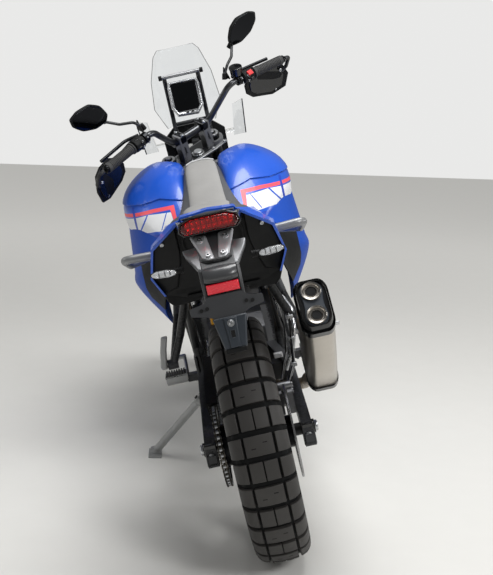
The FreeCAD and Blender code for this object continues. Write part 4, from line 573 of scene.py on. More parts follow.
def tube(points: Sequence[Point], radius: float | Sequence[float], bend: float = 30.0,
         sides: int = 16) -> Form:
    """Sweep a circle along a rounded path.

    Args:
        points: The path's corners.
        radius: One radius, or one for each end.
        bend: The bends' radius.
        sides: How many sides the section has.

    Returns:
        The swept form with flat ends.
    """
    path = rounded(points, bend)
    ends = (radius, radius) if isinstance(radius, (int, float)) else radius
    across = (path[1] - path[0]).normalized().orthogonal().normalized()
    rings = []
    for index, spot in enumerate(path):
        ahead = (path[min(index + 1, len(path) - 1)] - path[max(index - 1, 0)]).normalized()
        across = (across - ahead * across.dot(ahead)).normalized()
        up = ahead.cross(across)
        size = ends[0] + (ends[-1] - ends[0]) * index / (len(path) - 1)
        rings.append([spot + across * x + up * y for x, y in circle(size, sides)])
    return loft(rings)


def rod(start: Point, end: Point, radius: float | Sequence[float], sides: int = 24) -> Form:
    """Return a straight round bar, or a cone with two radii."""
    return tube([start, end], radius, sides=sides)


def bolt(spot: Point, heading: Point, radius: float = 6.0, height: float = 5.0) -> Form:
    """Return a hexagon-socket bolt head that stands on a surface.

    Args:
        spot: The middle of its seat.
        heading: The way it points out of the surface.
        radius: The head's radius.
        height: The head's height.

    Returns:
        The head, with a six-sided recess.
    """
    out = Vector(heading).normalized()
    across = out.orthogonal().normalized()
    up = out.cross(across)
    corners, six = 24, math.pi / 3
    rings = []
    for share, level in ((1.0, 0.0), (1.0, 0.8), (0.85, 1.0), (0.5, 1.0), (0.5, 0.4), (0.2 / radius, 0.4)):
        ring = circle(radius * share, corners)
        if share <= 0.5:
            flats = [math.cos(six / 2) / math.cos((2 * math.pi * step / corners) % six - six / 2)
                     for step in range(corners)]
            ring = [(x * flat, y * flat) for (x, y), flat in zip(ring, flats)]
        rings.append([Vector(spot) + out * height * level + across * x + up * y for x, y in ring])
    return loft(rings)


def bolts(spots: Iterable[Point], heading: Point, radius: float = 6.0, height: float = 5.0) -> Form:
    """Return bolt heads that all point one way."""
    return joined(bolt(spot, heading, radius, height) for spot in spots)


@dataclass
class SubAssembly:
    """What the sub-assemblies share: one body that they ride on, and how a form becomes a piece."""

    body: str
    axes: Axes

    def piece(self, name: str, form: Form, finishes: Finish | Sequence[Finish], *,
              axes: Axes | None = None, bevel: float = 0.0, segments: int = 2,
              subdivide: int = 0, smooth: float = 38.0,
              replaces: Sequence[str] = ()) -> bpy.types.Object:
        """Make a piece from a form.

        Args:
            name: The piece's name.
            form: Its points in millimetres and its faces.
            finishes: Its finish, or one for each slot number.
            axes: The drawing frame, if it isn't the sub-assembly's own.
            bevel: Width of the rounded edges in millimetres.
            segments: How many faces round an edge.
            subdivide: Levels of subdivision.
            smooth: Edges flatter than this many degrees are smooth.
            replaces: The nodes of the frame that the piece stands for.

        Returns:
            The piece, riding on its body.
        """
        place = axes or self.axes
        mesh = bpy.data.meshes.new(name)
        mesh.from_pydata([place.at(*point) for point in form.points], [], form.faces)
        for finish in [finishes] if isinstance(finishes, Finish) else finishes:
            mesh.materials.append(finish.material())
        mesh.polygons.foreach_set("material_index", form.slots)
        outward = bmesh.new()
        outward.from_mesh(mesh)
        bmesh.ops.recalc_face_normals(outward, faces=outward.faces)
        outward.to_mesh(mesh)
        outward.free()
        mesh.shade_smooth()
        mesh.set_sharp_from_angle(angle=math.radians(smooth))
        made = bpy.data.objects.new(name, mesh)
        bpy.context.scene.collection.objects.link(made)
        if bevel:
            round_edges(made, bevel, segments, smooth)
        if subdivide:
            finer = made.modifiers.new("finer", "SUBSURF")
            finer.levels = finer.render_levels = subdivide
        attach(made, self.body)
        if replaces:
            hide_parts(*replaces)
        LOG.info("%s: %d faces on %s", name, len(form.faces), self.body)
        return made


def round_edges(made: bpy.types.Object, width: float, segments: int, angle: float) -> None:
    """Round the edges that are sharper than an angle in degrees, by a width in millimetres."""
    edge = made.modifiers.new("rounded_edges", "BEVEL")
    edge.width, edge.segments = width / 1000, segments
    edge.limit_method, edge.angle_limit = "ANGLE", math.radians(angle)


def soften(made: bpy.types.Object, thickness: float, bevel: float) -> None:
    """Give a sheet its thickness, outward, and rounded edges, in millimetres."""
    sheet = made.modifiers.new("sheet", "SOLIDIFY")
    sheet.thickness, sheet.offset = thickness / 1000, 1.0
    round_edges(made, bevel, 3, 50)


# The camera, fitted to the photograph, and the studio

@dataclass(frozen=True)
class Photograph:
    """Camera of the photograph, in millimetres of the row frame and degrees."""

    place: Point = (-3550.6, 58.3, 1355.7)
    yaw: float = -3.65
    down: float = 12.19
    roll: float = -2.25
    focal_pixels: float = 1095.7
    height_pixels: float = 575.0
    sensor: float = 36.0

    def make(self) -> None:
        """Make the scene's camera."""
        yaw, down, roll = (math.radians(angle) for angle in (self.yaw, self.down, self.roll))
        ahead = Vector((math.cos(down) * math.cos(yaw), math.cos(down) * math.sin(yaw),
                        -math.sin(down)))
        level = Vector((math.sin(yaw), -math.cos(yaw), 0))
        below = ahead.cross(level)
        right = level * math.cos(roll) + below * math.sin(roll)
        lower = below * math.cos(roll) - level * math.sin(roll)
        lens = bpy.data.cameras.new("photograph")
        lens.sensor_width = self.sensor
        lens.lens = self.focal_pixels / self.height_pixels * self.sensor
        lens.clip_end = 50
        camera = bpy.data.objects.new("photograph", lens)
        turn = Matrix((right, -lower, -ahead)).transposed().to_4x4()
        turn.translation = Vector(self.place) / 1000
        camera.matrix_world = turn
        bpy.context.scene.collection.objects.link(camera)
        bpy.context.scene.camera = camera


@dataclass(frozen=True)
class Lamp:
    """A soft rectangular lamp; places in metres, power in watts."""

    name: str
    place: Point
    target: Point
    size: tuple[float, float]
    power: float

    def make(self) -> None:
        """Add the lamp, turned to its target."""
        light = bpy.data.lights.new(self.name, "AREA")
        light.shape = "RECTANGLE"
        light.size, light.size_y = self.size
        light.energy = self.power
        lamp = bpy.data.objects.new(self.name, light)
        lamp.location = self.place
        heading = Vector(self.target) - Vector(self.place)
        lamp.rotation_euler = heading.to_track_quat("-Z", "Y").to_euler()
        bpy.context.scene.collection.objects.link(lamp)


@dataclass(frozen=True)
class Studio:
    """A pale floor, a plain pale world and soft lamps overhead; distances in metres."""

    floor_hex: str = "d9d8d4"
    floor_half: float = 9.0
    near_floor: float = 1.6
    far_floor: float = 5.0
    far_glow: float = 0.3
    world_hex: str = "f2f2f1"
    world_strength: float = 0.42
    mirrored_strength: float = 0.2
    seen_strength: float = 0.92
    lamps: tuple[Lamp, ...] = (
        Lamp("overhead", (-0.3, -0.3, 3.6), (0, 0, 0.6), (2.2, 1.5), 105.0),
        Lamp("from_behind", (-3.6, -2.2, 3.0), (-0.3, 0, 0.8), (1.0, 0.9), 62.0),
        Lamp("left_side", (0.4, 4.4, 2.2), (0, 0, 0.7), (2.6, 1.2), 20.0),
        Lamp("right_side", (0.2, -4.4, 2.4), (0, 0, 0.7), (2.2, 1.0), 48.0))

    def make(self) -> None:
        """Make floor, world and lamps."""
        for lamp in self.lamps:
            lamp.make()
        self.world()
        self.floor()

    def world(self) -> None:
        """A grey surround that is white to the camera and through glass, and dim in reflections."""
        world = bpy.data.worlds.new("studio")
        bpy.context.scene.world = world
        world.use_nodes = True
        tree = world.node_tree
        tree.nodes.clear()
        path = add_node(tree, "ShaderNodeLightPath")
        seen = add_node(tree, "ShaderNodeMath", {"operation": "MAXIMUM"}, {
            0: path.outputs["Is Camera Ray"], 1: path.outputs["Is Transmission Ray"]})
        mirrored = add_node(tree, "ShaderNodeMapRange", inputs={
            "Value": path.outputs["Is Glossy Ray"], "To Min": self.world_strength,
            "To Max": self.mirrored_strength})
        strength = add_node(tree, "ShaderNodeMix", inputs={
            "Factor": seen.outputs[0], 2: mirrored.outputs[0], 3: self.seen_strength})
        surround = add_node(tree, "ShaderNodeBackground", inputs={
            "Color": linear(self.world_hex), "Strength": strength.outputs[0]})
        add_node(tree, "ShaderNodeOutputWorld", inputs={"Surface": surround.outputs[0]})

    def floor(self) -> None:
        """A wide pale floor with a faint sheen."""
        half = self.floor_half
        mesh = bpy.data.meshes.new("floor")
        mesh.from_pydata([(-half, -half, 0), (half, -half, 0), (half, half, 0), (-half, half, 0)],
                         [], [(0, 1, 2, 3)])
        finish = Finish("studio_floor", self.floor_hex, Texture.PAINTED, 0.5, grain=400.0,
                        depth=0.01, shade=0.02)
        mesh.materials.append(self.lit_far(finish.material()))
        floor = bpy.data.objects.new("floor", mesh)
        bpy.context.scene.collection.objects.link(floor)

    def lit_far(self, material: bpy.types.Material) -> bpy.types.Material:
        """Lift the far floor, in what is seen but not in its light, so that it stays pale.

        Args:
            material: The floor's own finish.

        Returns:
            The same material, with a glow that starts away from the object.
        """
        tree = material.node_tree
        output = next(node for node in tree.nodes if node.type == "OUTPUT_MATERIAL")
        place = add_node(tree, "ShaderNodeTexCoord").outputs["Object"]
        reach = add_node(tree, "ShaderNodeVectorMath", {"operation": "LENGTH"}, {0: place})
        far = add_node(tree, "ShaderNodeMapRange", {"interpolation_type": "SMOOTHSTEP"}, {
            "Value": reach.outputs["Value"], "From Min": self.near_floor, "From Max": self.far_floor,
            "To Max": self.far_glow})
        path = add_node(tree, "ShaderNodeLightPath")
        seen = add_node(tree, "ShaderNodeMath", {"operation": "SUBTRACT"}, {
            0: 1.0, 1: path.outputs["Is Diffuse Ray"]})
        glow = add_node(tree, "ShaderNodeMath", {"operation": "MULTIPLY"}, {
            0: far.outputs[0], 1: seen.outputs[0]})
        light = add_node(tree, "ShaderNodeEmission", inputs={
            "Color": linear(self.floor_hex), "Strength": glow.outputs[0]})
        both = add_node(tree, "ShaderNodeAddShader", inputs={
            0: output.inputs["Surface"].links[0].from_socket, 1: light.outputs[0]})
        tree.links.new(both.outputs[0], output.inputs["Surface"])
        return material


# Finishes of the frame's own pieces that stay as they are

KEPT_NODES: tuple[tuple[Finish, str], ...] = (
    (ANODISED_BLACK, "front_rim rear_rim fork_tubes levers"), (DISC_STEEL, "front_discs rear_disc"),
    (CHAIN_STEEL, "rear_sprocket"), (FRAME_COAT, "swingarm frame plate_bracket stand_bracket"),
    (CAST_DARK, "crankcase cylinder_block radiator rear_calliper front_callipers yokes"),
    (BRUSHED_PLATE, "skid_plate"), (HEADER_STEEL, "exhaust_pipes"), (PLAIN_BLUE, "tail_panels"),
    (BLACK_PP, "tail_cover chain_guard nose_fairing"), (STAND_GREY, "footrests side_stand"),
    (FORGED, "foot_levers"), (CLEAR_LENS, "headlight"), (SCREEN_CLEAR, "windscreen"),
    (CHROME, "fork_sliders"), (HANDLEBAR_SATIN, "handlebar"))


def dress_frame() -> None:
    """Give every carried-over piece its finish and smooth shading."""
    for finish, names in KEPT_NODES:
        for name in names.split():
            mesh = frame["nodes"][name].data
            mesh.materials.clear()
            mesh.materials.append(finish.material())
            mesh.shade_smooth()
            mesh.set_sharp_from_angle(angle=math.radians(30))


# Tyres

@dataclass
class Tyre(SubAssembly):
    """A block tyre: a smooth carcass and rows of rubber blocks, in millimetres.

    Rows alternate: one block with two short sipes, then one split down the middle.
    Columns of bow are shares of the half width and of the height over the bead.
    """

    name: str
    radius: float
    half_width: float
    bead_half: float
    bead: float
    rows: int
    centre_half: float
    channel: float = 7.0
    cross_groove: float = 15.0
    tread_depth: float = 9.0
    root: float = 2.5
    shoulder_end: float = 0.70
    wall: float = 12.0
    lip: float = 10.3
    slit: float = 1.4
    sipe_half: float = 1.1
    bow: Outline = ((0.0, 1.0), (0.20, 0.997), (0.52, 0.965), (0.80, 0.89), (0.97, 0.72),
                    (1.0, 0.52), (0.94, 0.36), (0.84, 0.24))

    def __post_init__(self) -> None:
        """Sample the left half of the outer section and its length from the crown."""
        height = self.radius - self.bead
        self.section = smooth_run([(self.half_width * wide, self.bead + height * up, 0)
                                   for wide, up in self.bow], 8)
        self.lengths = [0.0]
        for before, after in zip(self.section, self.section[1:]):
            self.lengths.append(self.lengths[-1] + (after - before).length)
        self.shoulder = self.lengths[-1] * self.shoulder_end

    def spot(self, along: float, sink: float) -> tuple[float, float]:
        """Return a place on the section.

        Args:
            along: Signed length from the crown, positive to the left.
            sink: How far below the outer surface.

        Returns:
            The place across the tyre and its radius.
        """
        length = min(abs(along), self.lengths[-1] - 0.01)
        index = next(row for row, value in enumerate(self.lengths) if value > length) - 1
        share = (length - self.lengths[index]) / (self.lengths[index + 1] - self.lengths[index])
        here = self.section[index].lerp(self.section[index + 1], share)
        ahead = (self.section[index + 1] - self.section[index]).normalized()
        y, radius = here.x + ahead.y * sink, here.y - ahead.x * sink
        return (math.copysign(y, along) if along else 0.0, radius)

    def swept(self, ring: Outline, turns: Iterable[float]) -> Form:
        """Return a block: a ring of (across, radius) at several angles round the wheel."""
        return loft([[(radius * math.cos(turn), y, radius * math.sin(turn)) for y, radius in ring]
                     for turn in turns])

    def block(self, low: float, high: float, turns: Iterable[float], columns: int = 4) -> Form:
        """Return one tread block.

        Args:
            low: Its lower edge along the section.
            high: Its upper edge along the section.
            turns: The angles of its start, middle and end, in radians.
            columns: How many faces lie across it.

        Returns:
            A closed block that stands in the carcass.
        """
        places = [low + (high - low) * step / columns for step in range(columns + 1)]
        top = [self.spot(place, 0.0) for place in places]
        return self.swept(top + [self.spot(place, self.tread_depth + self.root)
                                 for place in reversed(places)], turns)

    def sipe(self, along: float, turn: float, half: float) -> Form:
        """Return a short slot on the middle block, drawn as its dark floor.

        Args:
            along: Its middle along the section.
            turn: Its angle round the wheel.
            half: Half its length.

        Returns:
            A flat closed form.
        """
        ring = [self.spot(along + step * half, sink)
                for step, sink in ((-1, -0.25), (1, -0.25), (1, 1.0), (-1, 1.0))]
        width = self.sipe_half / self.radius
        return self.swept(ring, (turn - width, turn + width))

    def carcass(self) -> Form:
        """Return the carcass with its groove floor and side walls, hollow inside."""
        count = 18
        outer = []
        for step in range(-count, count + 1):
            along = self.lengths[-1] * step / count
            outer.append(self.spot(along, self.tread_depth if abs(along) < self.shoulder else 0.0))
        foot, rim = self.bead_half, self.bead + self.lip
        inner, belly = foot - self.wall, self.half_width - self.wall
        crown = (self.half_width * 0.6, self.radius - self.tread_depth - self.wall)
        inside = [(inner, self.bead), (belly, self.bead + 40), crown, (-crown[0], crown[1]),
                  (-belly, self.bead + 40), (-inner, self.bead)]
        return lathe([(-foot, self.bead), (-foot, rim)] + outer + [(foot, rim), (foot, self.bead)]
                     + inside, 128)

    def make(self) -> None:
        """Build carcass, blocks and sipes; the carcass stands for the plain tyre."""
        # The carcass is the darker rubber: painted shade in the grooves and on the walls.
        self.piece(self.name + "_carcass", self.carcass(), GROOVE_RUBBER_PAINTED_SHADE, smooth=50,
                   replaces=[self.name])
        pitch = 2 * math.pi / self.rows
        groove = self.cross_groove / self.radius
        half = self.centre_half
        blocks, sipes = Form(), Form()
        for row in range(self.rows):
            start, end = row * pitch + groove / 2, (row + 1) * pitch - groove / 2
            turns = (start, (start + end) / 2, end)
            if row % 2:
                blocks.add(self.block(self.slit, half, turns))
                blocks.add(self.block(-half, -self.slit, turns))
            else:
                blocks.add(self.block(-half, half, turns, 6))
                for side in SIDES:
                    sipes.add(self.sipe(side * half * 0.42,
                                        start + (end - start) * (0.5 + 0.12 * side), half * 0.16))
            for side in SIDES:
                low, high = sorted((side * (half + self.channel), side * self.shoulder))
                blocks.add(self.block(low, high, turns, 6))
        # The blocks are the lighter rubber: a painted sheen on their tops.
        self.piece(self.name + "_blocks", blocks, TREAD_RUBBER_PAINTED_SHEEN, bevel=1.3, smooth=30)
        self.piece(self.name + "_sipes", sipes, SLOT_DARK)


# Seat

@dataclass
class Seat(SubAssembly):
    """One long seat: a pale grained top, darker sides and a piped seam between them.

    Columns of stations are x, top, half width of the top, widest half width, underside.
    """

    stations: Outline = (
        (-181, 997, 56, 74, 950), (-120, 1001, 60, 88, 943), (0, 991, 62, 105, 927),
        (150, 968, 63, 117, 898), (290, 936, 64, 120, 872), (400, 911, 64, 119, 850),
        (490, 905, 62, 114, 850), (560, 914, 59, 108, 854), (650, 946, 56, 84, 876),
        (760, 992, 54, 70, 907), (835, 1020, 52, 65, 930), (884, 1022, 46, 57, 945))
    crown: float = 7.0
    seam_drop: float = 9.0
    nose: Outline = ((858, -47, 1016), (862, -30, 1023), (863, 0, 1025), (862, 30, 1023),
                     (858, 47, 1016))

    def half_section(self, top: float, edge: float, wide: float, under: float) -> Outline:
        """Return the left half of a section.

        Args:
            top: Height of the top.
            edge: Half width of the top.
            wide: The widest half width.
            under: Height of the underside.

        Returns:
            Places (y, z) from the middle to the underside.
        """
        seam = top - self.seam_drop
        return [(0, top + self.crown * 0.5), (edge * 0.5, top + self.crown * 0.35),
                (edge * 0.86, top - 1.5), (edge, seam), (edge + 1.5, seam - 3),
                (wide * 0.93, top - 24), (wide, top - 38), (wide * 0.985, (top + under) / 2 - 8),
                (wide * 0.93, under + 8), (wide * 0.86, under)]

    def make(self) -> None:
        """Build the cushion and its piping."""
        rings, seams = [], []
        for x, *sizes in self.stations:
            half = self.half_section(*sizes)
            rings.append([(x, y, z) for y, z in half] + [(x, -y, z) for y, z in reversed(half[1:])])
            seams.append((x, sizes[1] + 0.8, sizes[0] - self.seam_drop - 1.2))
        cushion = loft(rings)
        count, sides = len(rings[0]), len(rings[0]) * (len(rings) - 1)
        top_columns = {0, 1, 2, count - 3, count - 2, count - 1}
        cushion.slots = [0 if index % count in top_columns and index < sides else 1
                         for index in range(len(cushion.faces))]
        made = self.piece("seat_cushion", cushion, [SEAT_TOP, SEAT_SIDE], subdivide=2, smooth=75,
                          replaces=["seat"])
        self.piece("seat_piping", tube(seams, 1.6, bend=200.0, sides=10).paired(), SEAT_SIDE, smooth=60)
        # Pale nose piping: real piping with a painted highlight.
        self.piece("seat_nose_piping", tube(self.nose, 2.2, bend=40.0), NOSE_PIPING_HIGHLIGHT, smooth=60)


# Cutting and painting forms

Cut = tuple[Point, Point, Callable[[Vector], bool]]


def as_bmesh(form: Form) -> bmesh.types.BMesh:
    """Return a form as an editable mesh.

    Args:
        form: The form.

    Returns:
        The mesh; the caller frees it.
    """
    made = bmesh.new()
    corners = [made.verts.new(point) for point in form.points]
    for face, slot in zip(form.faces, form.slots):
        made.faces.new([corners[index] for index in face]).material_index = slot
    return made


def as_form(made: bmesh.types.BMesh) -> Form:
    """Turn an editable mesh back to a form.

    Args:
        made: The mesh, freed here.

    Returns:
        The form.
    """
    made.verts.index_update()
    form = Form([tuple(vert.co) for vert in made.verts],
                [tuple(vert.index for vert in face.verts) for face in made.faces],
                [face.material_index for face in made.faces])
    made.free()
    return form


def sliced(form: Form, cuts: Iterable[Cut]) -> Form:
    """Draw edges across a form along planes; nothing is taken away.

    Args:
        form: The form to cut.
        cuts: A point and the normal of each plane, and which face centres it is drawn across.

    Returns:
        The form with more edges.
    """
    made = as_bmesh(form)
    for spot, normal, near in cuts:
        faces = [face for face in made.faces if near(face.calc_center_median())]
        edges = {edge for face in faces for edge in face.edges}
        corners = {vert for face in faces for vert in face.verts}
        bmesh.ops.bisect_plane(made, geom=[*corners, *edges, *faces], dist=0.05, plane_co=spot,
                               plane_no=normal)
    return as_form(made)


def kept(form: Form, wanted: Callable[[Vector], bool]) -> Form:
    """Return a part of a form.

    Args:
        form: The whole form.
        wanted: Tells by a face's centre whether it stays.

    Returns:
        The faces that stay.
    """
    made = as_bmesh(form)
    spare = [face for face in made.faces if not wanted(face.calc_center_median())]
    bmesh.ops.delete(made, geom=spare, context="FACES")
    return as_form(made)


def carved(form: Form, tool: Form) -> Form:
    """Cut one form with another by an exact boolean.

    Args:
        form: The form to cut.
        tool: What is taken away.

    Returns:
        What is left, all of it with the first finish.
    """
    things = []
    for part in (form, tool):
        mesh = bpy.data.meshes.new("cutting")
        made = as_bmesh(part)
        bmesh.ops.recalc_face_normals(made, faces=made.faces)
        made.to_mesh(mesh)
        made.free()
        things.append(bpy.data.objects.new("cutting", mesh))
        bpy.context.scene.collection.objects.link(things[-1])
    cut = things[0].modifiers.new("cut", "BOOLEAN")
    cut.operation = "DIFFERENCE"
    cut.object = things[1]
    graph = bpy.context.evaluated_depsgraph_get()
    mesh = bpy.data.meshes.new_from_object(things[0].evaluated_get(graph))
    result = Form([tuple(vert.co) for vert in mesh.vertices],
                  [tuple(face.vertices) for face in mesh.polygons], [0] * len(mesh.polygons))
    for thing in things:
        bpy.data.objects.remove(thing)
    return result


def crossed(corners: Outline, place: float) -> float:
    """Read a chain of corners.

    Args:
        corners: Pairs, by rising first number.
        place: A first number.

    Returns:
        The second number there.
    """
    for (a0, b0), (a1, b1) in zip(corners, corners[1:]):
        if place <= a1:
            return b0 + (b1 - b0) * (place - a0) / (a1 - a0)
    return corners[-1][1]


# Tank with its covers

@dataclass(frozen=True)
class Zone:
    """A painted patch: its finish number and corners as (distance from the middle, height)."""

    slot: int
    corners: tuple[tuple[float, float], ...]

    def holds(self, y: float, z: float) -> bool:
        """Tell whether a place is inside the patch."""
        turns = [(bx - ax) * (z - az) - (bz - az) * (y - ax)
                 for (ax, az), (bx, bz) in zip(self.corners, self.corners[1:] + self.corners[:1])]
        return all(turn >= 0 for turn in turns) or all(turn <= 0 for turn in turns)


@dataclass
class Tank(SubAssembly):
    """Two tall lobes beside the seat's nose, with a lower panel that carries the stripes.

    Columns of rows are x, saddle z, crest (y, z), shoulder (y, z), widest share and z,
    under (y share, z), floor z. The crease between lobe and panel is a chain of (y, z).
    """

    rows: Outline = (
        (640, 850, 70, 856, 118, 852, 0.56, 812, 0.52, 772, 790),
        (760, 900, 80, 968, 150, 962, 0.82, 884, 0.76, 792, 798),
        (880, 935, 72, 1004, 170, 1010, 0.975, 922, 0.91, 800, 808),
        (1000, 940, 76, 1014, 182, 1020, 1.0, 938, 0.945, 816, 835),
        (1120, 940, 84, 1010, 182, 1012, 0.95, 942, 0.885, 836, 862),
        (1235, 925, 120, 975, 185, 970, 0.80, 930, 0.76, 868, 880))
    half_width: float = 285.0
    sweep_radius: float = 168.0
    sweep_reach: tuple[float, float] = (820.0, 1420.0)
    cover_thickness: float = 4.5
    saddle_half: float = 63.0
    stripe_front: float = 955.0
    stripe_slant: float = 0.45
    stripe_level: float = 880.0
    deep_below: float = 842.0
    crease: Outline = ((60, 918.5), (90, 925.5), (150, 939.5), (214, 928), (300, 926.5))
    zones: tuple[Zone, ...] = (
        Zone(1, ((246, 780), (254, 780), (254, 922), (246, 922))),
        Zone(3, ((110, 916.5), (125, 904.5), (181, 902), (177, 913.5))),
        Zone(3, ((177, 913.5), (181, 902), (290, 888), (290, 899))),
        Zone(3, ((110, 916.5), (125, 905), (117, 852), (108, 852))),
        Zone(0, ((135, 901), (138.5, 901), (167, 848), (163.5, 848))),
        Zone(0, ((199, 899), (205, 899), (244, 843), (238, 843))),
        Zone(2, ((124.5, 897), (202, 897), (187, 845), (117, 845))),
        Zone(2, ((202, 897), (290, 882), (290, 832), (187, 845))),
        Zone(1, ((60, 842), (290, 829), (290, 760), (60, 760))))

    def surface(self) -> Form:
        """Return the closed body of tank and covers, before the steering's room is cut."""
        columns = []
        for row in self.rows:
            x, saddle, crest_y, crest_z, shoulder_y, shoulder_z, wide, wide_z, low, low_z, floor = row
            half = [(0, saddle), (58, saddle + 2), (crest_y, crest_z), (shoulder_y, shoulder_z),
                    (self.half_width * wide, wide_z), (self.half_width * low, low_z),
                    (110 if row is self.rows[0] else 150, floor), (0, floor)]
            run = smooth_run([(y, z, 0) for y, z in half], 7)
            columns.append([(x, max(0.0, spot.x) if index else 0.0, spot.y)
                            for index, spot in enumerate(run)])
        lines = [smooth_run(line, 13) for line in zip(*columns)]
        return loft([[tuple(p) for p in left] + [(p.x, -p.y, p.z) for p in left[-2:0:-1]]
                     for left in zip(*lines)])

    def edge(self, start: Point, end: Point, low: Point, high: Point, front: float) -> list[Cut]:
        """Return the cuts along one edge of the chart, on both sides.

        Args:
            start: Where the edge starts, as (distance from the middle, height).
            end: Where it ends.
            low: The least distance and height that it is drawn over.
            high: The greatest distance and height.
            front: How far forward it is drawn.

        Returns:
            One cut for each side.
        """
        return [((0, side * start[0], start[1]), (0, -side * (end[1] - start[1]), end[0] - start[0]),
                 lambda p, side=side: (low[0] < side * p.y < high[0] and low[1] < p.z < high[1]
                                       and p.x < front)) for side in SIDES]

    def zone_cuts(self) -> list[Cut]:
        """Return the cuts round the painted patches, and the one that ends them in front."""
        cuts: list[Cut] = [((self.stripe_front, 0, self.stripe_level), (1, 0, -self.stripe_slant),
                            lambda p: 820 < p.z < 960)]
        for zone in self.zones:
            low, high = ([pick(values) + 9 * sign for values in zip(*zone.corners)]
                         for pick, sign in ((min, -1), (max, 1)))
            for start, end in zip(zone.corners, zone.corners[1:] + zone.corners[:1]):
                cuts += self.edge(start, end, low, high, self.stripe_front + 60)
        return cuts

    def make(self) -> None:
        """Build the body with its stripes, and the lobes' covers on it."""
        room = rod(*(steering_spot(0, 0, along) for along in self.sweep_reach), self.sweep_radius,
                   sides=96)
        whole = carved(self.surface(), room)
        cuts = [cut for start, end in zip(self.crease, self.crease[1:]) for cut in
                self.edge(start, end, (start[0] - 6, -math.inf), (end[0] + 6, math.inf), math.inf)]
        axis = steering_spot(0, 0, 0)
        heading = steering_spot(0, 0, 1) - axis

        def on_cover(p: Vector) -> bool:
            """Tell whether a face belongs to a lobe's cover."""
            off = p - axis
            return (abs(p.y) > self.saddle_half and p.z > crossed(self.crease, abs(p.y))
                    and (off - heading * off.dot(heading)).length > self.sweep_radius + 0.6)

        cover = self.piece("tank_covers", kept(sliced(whole, cuts), on_cover), PLAIN_BLUE, smooth=40)
        soften(cover, self.cover_thickness, 1.6)
        body = sliced(whole, self.zone_cuts())
        body.slots = [self.slot(body.middle(face)) for face in body.faces]
        self.piece("tank_body", body, [PLAIN_BLUE, DEEP_BLUE, PANEL_WHITE, CORAL], smooth=40,
                   replaces=["fuel_tank"])

    def slot(self, centre: Vector) -> int:
        """Return the finish number of the tank's body at a place."""
        if centre.x > self.stripe_front + self.stripe_slant * (centre.z - self.stripe_level):
            return 1 if centre.z < self.deep_below else 0
        return next((zone.slot for zone in self.zones if zone.holds(abs(centre.y), centre.z)), 0)


def steering_spot(forward: float, left: float, along: float) -> Vector:
    """Return the upright machine's point of a place beside the steering axis, steered straight."""
    rake = math.radians(GEOMETRY.rake)
    return Vector((GEOMETRY.steering_foot + forward * math.cos(rake) - along * math.sin(rake), left,
                   forward * math.sin(rake) + along * math.cos(rake)))


def ring_at(x: float, outline: Outline) -> list[tuple[float, float, float]]:
    """Return an outline of (y, z) as a ring at one x."""
    return [(x, y, z) for y, z in outline]


def oblong(x: float, half: float, low: float, high: float,
           inset: float = 0.0) -> list[tuple[float, float, float]]:
    """Return an upright rectangle across the machine, as a ring.

    Args:
        x: Where it stands.
        half: Half its width.
        low: Its lower edge.
        high: Its upper edge.
        inset: How far its edges are drawn in.

    Returns:
        Its four corners.
    """
    y, z0, z1 = half - inset, low + inset, high - inset
    return ring_at(x, ((-y, z0), (y, z0), (y, z1), (-y, z1)))


# Tail

def tail_edge(z: float) -> float:
    """Return how far back the painted edge of the tail is at a height."""
    return -150.0 - 0.396 * (z - 804.0)


def slope(y: float, down: float, out: float = 0.0) -> Vector:
    """Return a place on the carrier's sloped top: across, down the slope, and out of it."""
    return Vector((-226.7 - 0.8466 * down - 0.5319 * out, y, 949.5 - 0.5319 * down + 0.8466 * out))


def slope_plate(outline: Outline, low: float, high: float) -> Form:
    """Return a plate on the sloped top, from an outline of (across, down the slope)."""
    return loft([[slope(y, down, out) for y, down in outline] for out in (low, high)])


